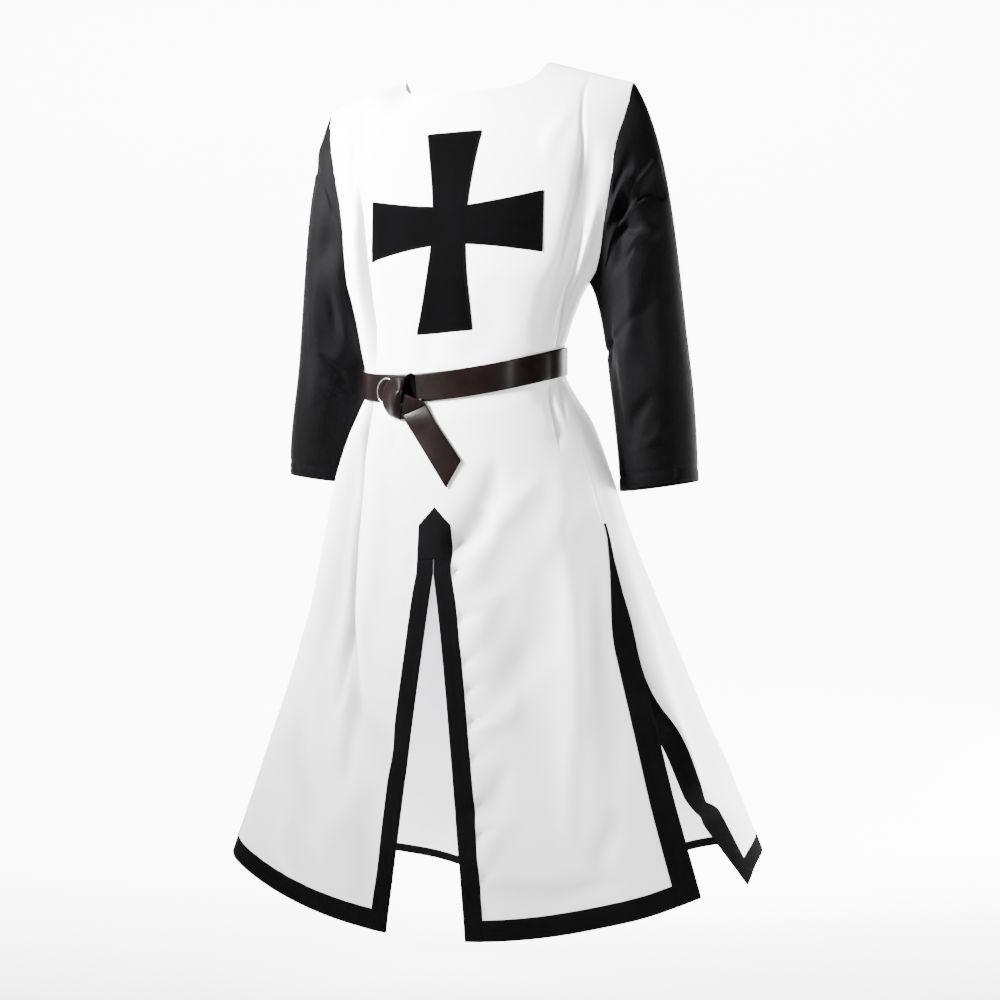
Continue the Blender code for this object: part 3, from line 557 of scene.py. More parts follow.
def cloth_piece(name, meshes, material, thickness=0.0, nodes=()):
    """One object of one or more grids, joined where they meet and given its thickness inwards."""
    shape = bmesh.new()
    for mesh in meshes:
        shape.from_mesh(mesh)
        bpy.data.meshes.remove(mesh)
    bmesh.ops.remove_doubles(shape, verts=shape.verts[:], dist=0.00003)
    mesh = mesh_of(name, shape)
    mesh.materials.append(material)
    mesh.shade_smooth()
    piece = linked(name, mesh)
    if thickness:
        wall = piece.modifiers.new("Wall", "SOLIDIFY")
        wall.thickness = thickness
        wall.offset = -1
        evened = piece.modifiers.new("Even shading", "WEIGHTED_NORMAL")
        evened.weight = 80
    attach(piece, "root")
    if nodes:
        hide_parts(*nodes)
    return piece


def eased(share):
    """Columns that come closer together towards both edges of a strip."""
    return (1 - np.cos(math.pi * share)) / 2


NECK_SHARE = 0.42
NECK_HEM = 0.8


def top_of_column(share, neck_drop, steepness=0.6, fullness=0.6):
    """x and height of a panel's top edge: the neckline first, then the shoulder seam."""
    turn = clamp(share / NECK_SHARE) * math.pi / 2
    neck_x = NECK_HALF * np.sin(turn) ** fullness
    neck_z = -neck_drop * np.maximum(np.cos(turn), 0) ** steepness
    x = mix(NECK_HALF, SHOULDER_HALF, clamp((share - NECK_SHARE) / (1 - NECK_SHARE)))
    z = -SHOULDER_SLOPE * (x - NECK_HALF)
    return np.where(share < NECK_SHARE, [neck_x, neck_z], [x, z])


SEAM_UNDER = 0.5
SEAM_LAP = 0.25
TURNED_IN = 1.3
SKIRT_ROWS = 0.62
RADIUS_OF_CUT = 15.0


def panel_levels(up, top):
    """Of a panel's rows: the level below the waist, the one above it and the rise to the top."""
    high = clamp((up - SKIRT_ROWS) / (1 - SKIRT_ROWS))
    rise = 1 - (1 - high) ** 1.5
    return mix(HEM + TURNED_IN, WAIST, up / SKIRT_ROWS), mix(WAIST, top, rise), rise


def under_trim(height):
    """How much of the side band's width the white cloth leaves free."""
    return np.where(height > SIDE_SLIT_TOP, 0.0, side_band_width(height) - SEAM_UNDER)


def finished(up, share, points, angle, height, seam_y):
    """A panel's points with its shoulder seam on one line, its cut places and the depth of its
    creases for painted shade.
    """
    on_seam = (up > 0.9999) & (share >= NECK_SHARE)
    points[:, 1] = np.where(on_seam, seam_y, points[:, 1])
    return points, (np.radians(angle) * RADIUS_OF_CUT, height), painted_crease_shade(angle, height)


def front_half(side, columns, rows):
    """A half of the white front: it runs a little way under its trims."""
    neck_form = (0.6, 0.6) if side > 0 else (0.7, 1.3)

    def place(across, up):
        share = across if side > 0 else 1 - across
        top_x, top_z = top_of_column(share, NECK_DROP_FRONT, *neck_form)
        low, upper, rise = panel_levels(up, top_z)
        facing = np.minimum(slit_half(low) + TURNED_IN * 0.7, placket_half(low) - 0.1)
        inner = np.maximum(np.maximum(placket_half(low) - SEAM_UNDER, facing), 0.0)
        low_inner = np.where(low < PLACKET_TIP, angle_of_x(side * inner, low), 0.0)
        low_outer = front_edge(side, low)
        low_outer = low_outer - side * angle_step(low_outer, low, under_trim(low))
        outer = front_edge(side, upper)
        angle = mix(share * outer, angle_of_x(side * top_x, upper), rise**4)
        angle = side * np.minimum(side * angle, side * outer)
        blend = up <= SKIRT_ROWS
        height = np.where(blend, low, upper)
        angle = np.where(blend, mix(low_inner, low_outer, share), angle)
        points = surface(angle, height)
        stitch = bell(((1 - rise) * (top_z - WAIST) - NECK_HEM) / 0.16)
        points[:, 1] += np.where(~blend & (share < NECK_SHARE), 0.05 * stitch, 0.0)
        return finished(up, share, points, angle, height, -0.01)

    return grid_mesh("front_half", columns, rows, place)


def back_half(side, columns, rows):
    """A half of the white back: its sides run a little way under the front's."""
    def place(across, up):
        share = 1 - across if side > 0 else across
        top_x, top_z = top_of_column(share, NECK_DROP_BACK + 1.0, 0.25 if side > 0 else 0.1)
        low, upper, rise = panel_levels(up, top_z)
        outer = level("back_edge", low)
        trim = under_trim(low)
        outer = outer + angle_step(outer, low, trim - SEAM_LAP * (trim < 0.01))
        low_angle = mix(180.0, outer, share)
        outer = level("back_edge", upper)
        outer = outer - angle_step(outer, upper, SEAM_LAP)
        top_angle = 180 - side * angle_of_x(side * top_x, upper)
        angle = np.maximum(mix(mix(180.0, outer, share), top_angle, rise**4), outer)
        blend = up <= SKIRT_ROWS
        height = np.where(blend, low, upper)
        turned = np.where(blend, low_angle, angle)
        angle = side * turned
        points = np.where(blend[:, None], back_surface(angle, height), surface(angle, height))
        width = (turned - level("back_edge", height)) / angle_step(turned, height, 1.0)
        lap = bell(width / 0.4) * (SIDE_SLIT_TOP < height)
        points -= (lifted(angle, height, 0.13) - surface(angle, height)) * lap[:, None]
        return finished(up, share, points, angle, height, 0.01)

    return grid_mesh("back_half", columns, rows, place)


def strip(name, columns, rows, top, bottom, edges, lift, form=surface, crosswise=False):
    """A band of cloth that runs down the panel, or crosswise between two levels: edges(height)
    gives the two angles it lies between."""
    def place(across, up):
        step = eased(up if crosswise else across)
        height = mix(bottom, top, step if crosswise else up)
        near, far = edges(height)
        angle = mix(near, far, across if crosswise else step)
        rim = np.minimum(step, 1 - step) * BAND_WIDTH / BAND_ROUNDING
        points = lifted(angle, height, lift * (0.35 + 0.65 * smooth(rim)), form)
        if crosswise:
            return points, (height, np.radians(angle) * 25.0)
        return points, (step * BAND_WIDTH, height)

    return grid_mesh(name, columns, rows, place)


# ---------------------------------------------------------------- materials

class Wire:
    """A socket of a material, with arithmetic."""

    def __init__(self, paint, socket):
        self.paint, self.socket = paint, socket

    def math(self, operation, *others):
        values = {step: value for step, value in enumerate((self, *others))}
        return self.paint.node("ShaderNodeMath", {"operation": operation}, values)

    def __add__(self, other):
        return self.math("ADD", other)

    __radd__ = __add__

    def __mul__(self, other):
        return self.math("MULTIPLY", other)

    __rmul__ = __mul__

    def sine(self):
        return self.math("SINE")

    def clear(self, low, high):
        """0 below low and 1 above high, smoothly."""
        values = {"Value": self, "From Min": low, "From Max": high}
        kind = {"interpolation_type": "SMOOTHSTEP", "clamp": True}
        return self.paint.node("ShaderNodeMapRange", kind, values)


class Paint:
    """A material made of nodes."""

    def __init__(self, name, **constants):
        self.material = bpy.data.materials.new(name)
        self.material.use_nodes = True
        self.tree = self.material.node_tree
        self.shader = self.tree.nodes["Principled BSDF"]
        for socket, value in constants.items():
            self.shader.inputs[socket.replace("_", " ")].default_value = value

    def node(self, kind, settings=None, values=None, out=0):
        """A node with its settings and the values or links of its sockets."""
        made = self.tree.nodes.new(kind)
        for key, value in (settings or {}).items():
            setattr(made, key, value)
        for key, value in (values or {}).items():
            if isinstance(value, Wire):
                self.tree.links.new(value.socket, made.inputs[key])
            else:
                made.inputs[key].default_value = value
        return Wire(self, made.outputs[out])

    def place(self):
        return self.node("ShaderNodeTexCoord", out="Object")

    def cut(self):
        """The two cut coordinates of the cloth, in metres."""
        along = self.node("ShaderNodeUVMap", {"uv_map": "cut"})
        split = self.node("ShaderNodeSeparateXYZ", values={0: along})
        return split, Wire(self, split.socket.node.outputs[1])

    def noise(self, scale, detail=3.0, rough=0.5):
        values = {"Vector": self.place(), "Scale": scale, "Detail": detail, "Roughness": rough}
        return self.node("ShaderNodeTexNoise", values=values)

    def blend(self, share, first, second):
        """A colour between two colours."""
        settings = {"data_type": "RGBA"}
        values = {0: share, 6: first, 7: second}
        return self.node("ShaderNodeMix", settings, values, out=2)

    def bump(self, height, strength, distance, over=None):
        values = {"Height": height, "Strength": strength, "Distance": distance}
        if over:
            values["Normal"] = over
        return self.node("ShaderNodeBump", values=values)

    def feed(self, **links):
        for socket, value in links.items():
            self.tree.links.new(value.socket, self.shader.inputs[socket.replace("_", " ")])
        return self.material


def rgba(colour, share=1.0):
    return (colour[0] * share, colour[1] * share, colour[2] * share, 1.0)


def woven(name, colour, thread, roughness, uneven, weave, **constants):
    """Plain woven cloth: crossing threads, slightly uneven ones, faint shifts of tone and painted
    shade in the creases.
    """
    paint = Paint(name, **constants)
    across, along = paint.cut()
    turns = math.tau / thread
    crossing = (across * turns).sine() * (along * turns).sine()
    slub = paint.noise(260.0, 2.0, 0.6)
    soft = paint.noise(9.0, 3.0, 0.55)
    fine = paint.noise(70.0, 3.0, 0.6)
    weaving = paint.bump(crossing * 0.5 + slub * 0.7, weave, 0.0003)
    rumple = paint.bump(soft * 0.6 + fine * 0.15, 0.35, 0.0022, weaving)
    # Painted shade: the cloth's colour falls to half where the crease attribute is 1, in the
    # deepest creases.
    crease_shade = paint.node("ShaderNodeAttribute", {"attribute_name": "crease_shade"}, out="Fac")
    tone = paint.blend(soft.clear(0.3, 0.72), rgba(colour, 1 - uneven), rgba(colour))
    tone = paint.blend(crease_shade, tone, rgba(colour, 0.5))
    rough = fine * 0.10 + (roughness - 0.05)
    return paint.feed(Base_Color=tone, Roughness=rough, Normal=rumple)


def polished_leather(name, colour, matte=False):
    """Smooth belt leather: a fine closed grain, soft shifts of tone and, unless matte, a coat. The
    matte copy serves as painted shadow in the knot's opening.
    """
    paint = Paint(name, Coat_Roughness=0.2, Specular_IOR_Level=0.01 if matte else 0.03)
    values = {"Vector": paint.place(), "Scale": 900.0}
    cells = paint.node("ShaderNodeTexVoronoi", {"feature": "DISTANCE_TO_EDGE"}, values)
    fine = paint.noise(320.0, 3.0, 0.6)
    soft = paint.noise(28.0, 3.0, 0.55)
    grain = paint.bump(cells.clear(0.0, 0.25) * 0.6 + fine * 0.5, 0.22, 0.0003)
    wave = paint.bump(soft, 0.3, 0.0015, grain)
    tone = paint.blend(soft.clear(0.32, 0.7), rgba(colour, 0.7), rgba(colour, 1.25))
    rough = soft * 0.16 + fine * 0.08 + 0.22
    coat = soft * 0.05 + 0.05
    if matte:
        return paint.feed(Base_Color=tone, Normal=wave)
    return paint.feed(Base_Color=tone, Roughness=rough, Coat_Weight=coat, Normal=wave)


def bright_metal(name, colour):
    """Polished ring metal with faint rubbing marks."""
    paint = Paint(name, Metallic=1.0)
    rub = paint.noise(160.0, 4.0, 0.65)
    tone = paint.blend(rub.clear(0.35, 0.7), rgba(colour, 0.86), rgba(colour))
    marks = paint.bump(rub, 0.1, 0.0003)
    return paint.feed(Base_Color=tone, Roughness=rub * 0.22 + 0.1, Normal=marks)


def thread(name, colour, twist):
    """Sewing or embroidery thread, with its filaments lying across the stitch."""
    paint = Paint(name, Specular_IOR_Level=0.004)
    across, along = paint.cut()
    lines = (along * (math.tau / twist)).sine()
    fine = paint.noise(500.0, 2.0, 0.5)
    ridge = paint.bump(lines * 0.5 + fine * 0.3, 0.4, 0.0003)
    # Painted shade: the colour darkens in the grooves between the filaments, where the bump is low.
    tone = paint.blend(lines.clear(-1.0, 0.6), rgba(colour, 0.6), rgba(colour))
    return paint.feed(Base_Color=tone, Roughness=fine * 0.15 + 0.55, Normal=ridge)


def finish_of(name, maker, *details, **constants):
    """The material of this name, made once."""
    return bpy.data.materials.get(name) or maker(name, *details, **constants)


def white_cloth(cut):
    return finish_of(
        "white cloth", woven, cut.white, cut.weave, 0.62, 0.035, 0.12,
        Sheen_Weight=0.12, Specular_IOR_Level=0.3,
    )


def shaded(colour, depth):
    return [share * depth for share in colour]


def black_cloth(cut, depth=0.55, name="black cloth", rough=0.95):
    """The black cloth at a share of its colour for a piece: the cross's much lower share is painted
    shade, set against the strong light on the chest.
    """
    return finish_of(
        name, woven, shaded(cut.black, depth), cut.weave, rough, 0.3, 0.18,
        Specular_IOR_Level=0.017 * depth,
    )


# ---------------------------------------------------------------- settings and operators

def size_setting(name, default, least, most, description):
    return FloatProperty(
        name=name, description=description, default=default, min=least, max=most, unit="LENGTH"
    )


def colour_setting(name, default, description):
    return FloatVectorProperty(
        name=name, description=description, default=default, subtype="COLOR", size=3, min=0.0,
        max=1.0,
    )


class SurcoatCut(bpy.types.PropertyGroup):
    """Sizes and colours of the surcoat."""

    cloth: size_setting("Cloth", 0.0009, 0.0003, 0.0015, "Thickness of the white and black cloth")
    band_lift: size_setting(
        "Band lift", 0.0009, 0.0003, 0.002, "How far the black bands stand off the white cloth"
    )
    weave: size_setting("Weave", 0.0007, 0.0003, 0.002, "Spacing of the threads of the cloth")
    strap: size_setting("Strap", 0.0024, 0.001, 0.004, "Thickness of the belt's leather")
    white: colour_setting("White", (0.80, 0.80, 0.825), "Colour of the body's cloth")
    black: colour_setting(
        "Black", (0.0064, 0.0061, 0.0067), "Colour of the sleeves, cross and bands"
    )
    leather: colour_setting("Leather", (0.0038, 0.0019, 0.0019), "Colour of the belt")
    metal: colour_setting("Metal", (0.40, 0.37, 0.33), "Colour of the ring")


class PieceOperator(bpy.types.Operator):
    """Base of the surcoat's operators."""

    bl_options = {"REGISTER", "UNDO"}

    def execute(self, context):
        self.make(context.scene.surcoat)
        return {"FINISHED"}


def trim(cut, name, mesh, node, flat, area, on="white_front"):
    """A black patch or band sewn on a panel."""
    piece = cloth_piece("black_" + name, [mesh], black_cloth(cut), cut.cloth, [node])


class SURCOAT_OT_white_front(PieceOperator):
    """White front panel with its creases, from the shoulders to the trims"""

    bl_idname = "surcoat.white_front"
    bl_label = "White front"

    def make(self, cut):
        halves = [front_half(side, 118, 196) for side in (-1, 1)]
        cloth = white_cloth(cut)
        piece = cloth_piece("white_front", halves, cloth, cut.cloth, ["front_panel"])


class SURCOAT_OT_white_back(PieceOperator):
    """White back panel with its soft folds"""

    bl_idname = "surcoat.white_back"
    bl_label = "White back"

    def make(self, cut):
        halves = [back_half(side, 112, 180) for side in (-1, 1)]
        cloth = white_cloth(cut)
        piece = cloth_piece("white_back", halves, cloth, cut.cloth, ["back_panel"])


def sleeve_place(name):
    """Points of a sleeve: u runs round the arm, v from the cuff to the armhole."""
    cut = SLEEVES[name]
    side = cut.side

    def armhole(turn):
        middle = (SHOULDER_TIP + UNDERARM) / 2
        height = middle + (SHOULDER_TIP - middle) * np.cos(np.radians(turn))
        edge = np.where(turn <= 180, level("front_edge", height), level("back_edge", height))
        return surface(side * edge, height) + np.array([side * 0.02, 0, 0])

    def ring(turn, x, y, z, half):
        out, ahead = half * np.cos(np.radians(turn)), half * np.sin(np.radians(turn))
        return np.stack([side * (x + out), y - ahead, z + ARM_TIP * out], -1)

    def bare(turn, down):
        start = armhole(turn)
        elbow = ring(turn, cut.elbow_x, cut.elbow_y, cut.elbow_z, cut.elbow_half)
        cuff = ring(turn, cut.cuff_x, cut.cuff_y, cut.cuff_z, cut.cuff_half)
        top = (1 + np.cos(np.radians(turn))) / 2
        out, ahead = side * mix(3.5, cut.leaving, top), -2.0 * np.sin(np.radians(turn))
        leaving = np.stack([out, ahead, -mix(4.0, 22.0, top * top)], -1)
        length = np.linalg.norm(elbow - start, axis=-1, keepdims=True)
        lower = np.linalg.norm(cuff - elbow, axis=-1, keepdims=True)
        way = np.array([side * 0.12, 0.05, -1.0])
        share = down[:, None]
        upper = hermite(start, leaving, elbow, way * length, share / ELBOW_AT)
        end = np.array([0.0, 0.12, -1.0]) * lower
        under = hermite(elbow, way * lower, cuff, end, (share - ELBOW_AT) / (1 - ELBOW_AT))
        return np.where(share < ELBOW_AT, upper, under)

    def place(around, up):
        turn = (-360 * around * side) % 360
        down = 1 - up
        points = bare(turn, down)
        middle = sum(bare(np.full_like(turn, t), down) for t in (0.0, 90.0, 180.0, 270.0)) / 4
        lift = np.zeros_like(turn)
        for fold in SLEEVE_FOLDS:
            along = (down - fold.top) / (fold.bottom - fold.top)
            line = mix(fold.angle_top, fold.angle_bottom, clamp(along))
            away = ((turn - line + 180) % 360 - 180) / fold.width
            swell = np.where((along > 0) & (along < 1), np.sin(math.pi * clamp(along)), 0.0)
            lift += fold.depth * bell(away) * swell
        for crease in SLEEVE_CREASES[name]:
            start, end = crease.angle_start, crease.angle_end
            spots = [
                (start * SLEEVE_TURN, crease.start * SLEEVE_LENGTH),
                (end * SLEEVE_TURN, crease.end * SLEEVE_LENGTH),
            ]
            centre = (start + end) / 2 if abs(end - start) > 100 else start
            nearest = (turn - centre + 180) % 360 - 180 + centre
            lift += crease_lift(nearest * SLEEVE_TURN, down * SLEEVE_LENGTH, spots, crease)
        lift += 0.05 * wander(turn / 26.0, down * 9.0, 5.0 + side)
        lift -= 0.09 * bell((down - CUFF_SEAM) / 0.006)
        lift += np.where(down > CUFF_SEAM, 0.04, 0.0)
        outward = points - middle
        outward /= np.linalg.norm(outward, axis=-1, keepdims=True)
        return points + outward * lift[:, None], (around * SLEEVE_ROUND, up * SLEEVE_LENGTH)

    return place


class SURCOAT_OT_sleeves(PieceOperator):
    """Black three-quarter sleeves with their cuff seams"""

    bl_idname = "surcoat.sleeves"
    bl_label = "Sleeves"

    def make(self, cut):
        cloth = black_cloth(cut, 0.54, "sleeve cloth", 0.6)
        for name in SLEEVES:
            mesh = grid_mesh(name, 112, 190, sleeve_place(name))
            piece = cloth_piece("black_" + name, [mesh], cloth, cut.cloth, [name])


class SURCOAT_OT_slit_trim(PieceOperator):
    """Black placket above the front slit and the bands down its two edges"""

    bl_idname = "surcoat.slit_trim"
    bl_label = "Slit trim"

    def make(self, cut):
        lift = cut.band_lift / CM

        def patch(height):
            half = np.maximum(placket_half(height), 0.02)
            half = np.minimum(half, placket_half(np.full_like(height, PLACKET_SEAM)))
            return angle_of_x(-half, height), angle_of_x(half, height)

        mesh = strip("placket", 24, 40, PLACKET_TIP - 0.02, PLACKET_SEAM - 0.25, patch, lift * 1.25)
        trim(cut, "placket", mesh, "front_placket", (0.05, 0.07), 0.0029)
        for side, word in SIDES:
            def slit(height, side=side):
                reach = [np.maximum(slit_half(height), 0.03), placket_half(height)][::side]
                return [angle_of_x(side * x, height) for x in reach]

            mesh = strip("slit", 14, 150, PLACKET_SEAM + 0.2, HEM, slit, lift)
            trim(cut, "slit_band_" + word, mesh, "slit_band_" + word, (0.05, 0.48), 0.0125)


class SURCOAT_OT_side_trim(PieceOperator):
    """Black bands down the front and back edges of both side slits"""

    bl_idname = "surcoat.side_trim"
    bl_label = "Side trim"

    def make(self, cut):
        lift = cut.band_lift / CM
        for side, word in SIDES:
            def front(height, side=side):
                edge = front_edge(side, height)
                inner = edge - side * angle_step(edge, height, side_band_width(height))
                return [inner, edge][::side]

            def back(height, side=side):
                edge = level("back_edge", height)
                width = angle_step(edge, height, side_band_width(height))
                return [side * edge, side * (edge + width)][::side]

            for name, edges, form in (("front", front, surface), ("back", back, back_surface)):
                mesh = strip(name, 14, 150, SIDE_SLIT_TOP - 0.05, HEM, edges, lift, form)
                node = "side_band_" + name + "_" + word
                trim(cut, node, mesh, node, (0.03, 0.5), 0.012)


class SURCOAT_OT_hem_trim(PieceOperator):
    """Black bands along the hem of the two front halves and of the back"""

    bl_idname = "surcoat.hem_trim"
    bl_label = "Hem trim"

    def make(self, cut):
        lift = 0.7 * cut.band_lift / CM
        for side, word in SIDES:
            def front(height, side=side):
                inner = angle_of_x(side * (placket_half(height) - 0.25), height)
                outer = front_edge(side, height)
                outer = outer - side * angle_step(outer, height, side_band_width(height) - 0.25)
                return [inner, outer][::side]

            mesh = strip("hem", 110, 14, HEM + BAND_WIDTH, HEM, front, lift, crosswise=True)
            trim(cut, "hem_front_" + word, mesh, "hem_band_front_" + word, (0.28, 0.03), 0.0072)

        def back(height):
            outer = level("back_edge", height)
            outer = outer + angle_step(outer, height, side_band_width(height) - 0.25)
            return outer, 360 - outer

        mesh = strip("hem", 260, 14, HEM + BAND_WIDTH, HEM, back, lift, back_surface, True)
        trim(cut, "hem_back", mesh, "hem_band_back", (0.9, 0.03), 0.024, "white_back")


def arm_place(arm, out, sideways):
    """Flat place on an arm of the cross: out along it, 0 to 1, and sideways, -1 to 1."""
    along = mix(CROSS_WAIST_HALF, arm.reach, out)
    aside = sideways * mix(CROSS_WAIST_HALF, CROSS_END_HALF, out**CROSS_FLARE)
    x = arm.side_step * along + arm.up_step * aside
    return x, arm.up_step * along - arm.side_step * aside


def cross_outline():
    """The cross's outline, in centimetres from its centre, anticlockwise from the top arm."""
    outline = []
    for arm in (ARMS[0], ARMS[3], ARMS[1], ARMS[2]):
        outline += [arm_place(arm, step / 30, 1.0) for step in range(30)]
        outline += [arm_place(arm, 1.0, 1 - step / 12) for step in range(24)]
        outline += [arm_place(arm, 1 - step / 30, -1.0) for step in range(30)]
    return np.array(outline)


class SURCOAT_OT_cross(PieceOperator):
    """Black applique cross with four flared arms and its satin-stitched edge"""

    bl_idname = "surcoat.cross"
    bl_label = "Cross"

    def make(self, cut):
        def centre(u, v):
            return laid((u - 0.5) * 2 * CROSS_WAIST_HALF, (v - 0.5) * 2 * CROSS_WAIST_HALF, 0.1)

        meshes = [grid_mesh("cross", 8, 8, centre)]
        for arm in ARMS:
            def place(u, v, arm=arm):
                return laid(*arm_place(arm, v, 2 * (u - 0.5)), 0.1)

            meshes.append(grid_mesh("arm", 8, 24, place))
        # Painted shade: the cross is a far darker copy of the black cloth, set against the key
        # light on the chest.
        cloth = black_cloth(cut, 0.22, "cross cloth")
        piece = cloth_piece("black_cross", meshes, cloth, 0.0007, ["cross"])

        outline = cross_outline()
        ahead = np.roll(outline, -1, 0) - np.roll(outline, 1, 0)
        ahead /= np.linalg.norm(ahead, axis=1, keepdims=True)
        aside = np.stack([ahead[:, 1], -ahead[:, 0]], -1)
        count = len(outline)
        steps = np.r_[0, np.cumsum(np.linalg.norm(np.diff(outline, axis=0), axis=1))]

        def bead(u, v):
            spot = np.round(u * count).astype(int) % count
            turn = v * math.pi
            across = 0.19 * np.cos(turn)
            x = outline[spot, 0] + aside[spot, 0] * (across - 0.08)
            y = outline[spot, 1] + aside[spot, 1] * (across - 0.08)
            points, _ = laid(x, y, 0.04 + 0.08 * np.sin(turn) ** 0.8)
            along = np.where(u > 0.999, steps[-1] + 0.3, steps[spot])
            return points, (across, along)

        mesh = grid_mesh("bead", count, 8, bead)
        # Painted shade: the edge thread is darkened as much as the cross.
        silk = finish_of("black embroidery thread", thread, shaded(cut.black, 0.22), 0.0011)
        edge = cloth_piece("cross_edge", [mesh], silk, 0.0)
        edge.parent = piece


def laid(x, y, lift):
    """Points on the front panel at flat coordinates from the cross's centre."""
    height = CROSS_CENTRE + y
    return lifted(angle_of_x(x, height), height, lift), (x, y)


# Nets of the knot, from its top edge down: x, height above the belt's middle and lift off the
# cloth, in centimetres.
KNOT_WRAP = [
    [(-7.0, 1.1, 0.75), (-6.1, 1.3, 0.95), (-5.2, 1.4, 1.00), (-4.4, 1.3, 0.90)],
    [(-7.8, 0.0, 0.80), (-6.3, 0.1, 1.10), (-4.8, 0.0, 1.65), (-4.3, 0.1, 1.40)],
    [(-8.1, -1.1, 0.80), (-6.8, -1.1, 1.15), (-5.0, -0.8, 1.95), (-4.3, -0.7, 1.60)],
    [(-7.9, -2.3, 0.75), (-6.8, -2.3, 1.10), (-5.4, -2.1, 1.85), (-4.7, -2.3, 1.40)],
    [(-7.3, -3.2, 0.65), (-6.7, -3.4, 0.90), (-5.9, -3.5, 1.20), (-4.9, -3.9, 1.05)],
    [(-7.5, -3.3, 0.40), (-6.9, -3.5, 0.50), (-6.3, -3.7, 0.60), (-5.3, -4.0, 0.55)],
]
KNOT_CROSS = [
    [(-4.9, -0.8, 0.50), (-3.5, -1.4, 0.45), (-2.1, -2.0, 0.40)],
    [(-4.5, -0.6, 1.30), (-3.2, -1.2, 1.12), (-1.7, -1.9, 0.85)],
    [(-4.5, -2.3, 1.25), (-3.3, -2.2, 1.10), (-1.7, -2.2, 0.78)],
    [(-4.8, -4.0, 0.95), (-3.4, -3.1, 0.85), (-1.7, -2.3, 0.70)],
]
# The patch in the opening of the knot, which carries painted shadow.
KNOT_INSIDE = [
    [(-4.6, 1.3, 0.80), (-3.8, 1.9, 0.60), (-3.4, 1.6, 0.40)],
    [(-4.4, 0.1, 1.20), (-4.0, 0.2, 0.50), (-3.2, 0.1, 0.33)],
    [(-4.4, -0.9, 1.30), (-3.8, -1.2, 0.50), (-3.1, -1.3, 0.33)],
]


def spline(points, share):
    """A smooth curve through rows of points."""
    spot = clamp(share) * (len(points) - 1)
    low = np.minimum(spot.astype(int), len(points) - 2)
    part = (spot - low)[:, None]
    before, after = np.maximum(low - 1, 0), np.minimum(low + 2, len(points) - 1)
    many = np.arange(len(share))
    a, b, c, d = (points[step, many] for step in (before, low, low + 1, after))
    return hermite(b, (c - a) / 2, c, (d - b) / 2, part)


def net_place(net):
    """Points of a strap patch that runs through a net."""
    rows = [np.array(row) for row in net]

    def place(across, up):
        lines = np.stack([spline(np.repeat(row[:, None], len(across), 1), across) for row in rows])
        x, offset, lift = spline(lines, 1 - up).T
        return belt_points(x, offset, lift), (x, offset)

    return place


def belt_points(x, offset, lift):
    """Points beside the belt's middle line: offset up its width and lifted off the cloth."""
    height = np.full_like(x, WAIST)
    points = lifted(angle_of_x(x, height), height, lift)
    points[:, 2] += offset
    return points


def rounded(share, width, radius=BAND_ROUNDING):
    """How far the face of a strap falls towards its two rounded edges, in centimetres."""
    near = clamp(1 - np.minimum(share, 1 - share) * width / radius)
    return radius * 0.6 * (1 - np.sqrt(1 - near * near * 0.96))


class SURCOAT_OT_belt(PieceOperator):
    """Leather strap round the waist, the knot over it and the hanging end"""

    bl_idname = "surcoat.belt"
    bl_label = "Belt"

    def make(self, cut):
        leather = finish_of("brown leather", polished_leather, cut.leather)
        # Painted shadow: a near-black, matte copy of the belt's leather lines the opening of the
        # knot, where the shade falls.
        painted_shadow = shaded(cut.leather, 0.15)
        painted_shadow_finish = finish_of("rough side of the leather", polished_leather, painted_shadow, True)

        def strap(across, up):
            up = eased(up)
            angle = 180 + 360 * across
            height = np.full_like(across, WAIST)
            turn = np.radians(angle)
            lift = BELT_FACE - rounded(up, BELT_WIDTH)
            lift = lift + 0.03 * wander(5.0 * np.sin(turn), 5.0 * np.cos(turn) + up, 8.0)
            points = lifted(angle, height, lift)
            points[:, 2] += BELT_WIDTH * (up - 0.5)
            return points, (across * 75.0, up * BELT_WIDTH)

        def leather_piece(name, mesh, nodes, finish=leather, wall=cut.strap):
            return cloth_piece(name, [mesh], finish, wall, nodes)

        leather_piece("leather_strap", grid_mesh("strap", 420, 14, strap), ["belt_strap"])

        def tail(across, up):
            across, down = eased(across), 1 - up
            sideways = (BELT_WIDTH - 0.1) * (across - 0.5)
            run_x, run_z = TAIL_END_X - TAIL_START_X, TAIL_END - TAIL_START
            length = math.hypot(run_x, run_z)
            way_x, way_z = run_x / length, run_z / length
            reach = length * (0.1 + 0.9 * down) + TAIL_CUT * (0.5 - across) * down**4
            x = TAIL_START_X + way_x * reach - way_z * sideways
            height = TAIL_START + way_z * reach + way_x * sideways
            lift = mix(0.61, 0.36, smooth(down * 2.6)) - rounded(across, BELT_WIDTH)
            lift = lift - rounded(0.5 + 0.5 * down, length * 2)
            return lifted(angle_of_x(x, height), height, lift), (sideways, reach)

        leather_piece("leather_tail", grid_mesh("tail", 16, 60, tail), ["belt_tail"])
        mesh = grid_mesh("wrap", 30, 40, net_place(KNOT_WRAP))
        wrap = leather_piece("leather_knot", mesh, ["belt_tie"])
        for name, net, finish in (("cross", KNOT_CROSS, leather), ("painted_shadow", KNOT_INSIDE, painted_shadow_finish)):
            mesh = grid_mesh(name, 20, 20, net_place(net))
            leather_piece("knot_" + name, mesh, (), finish, 0.0018).parent = wrap


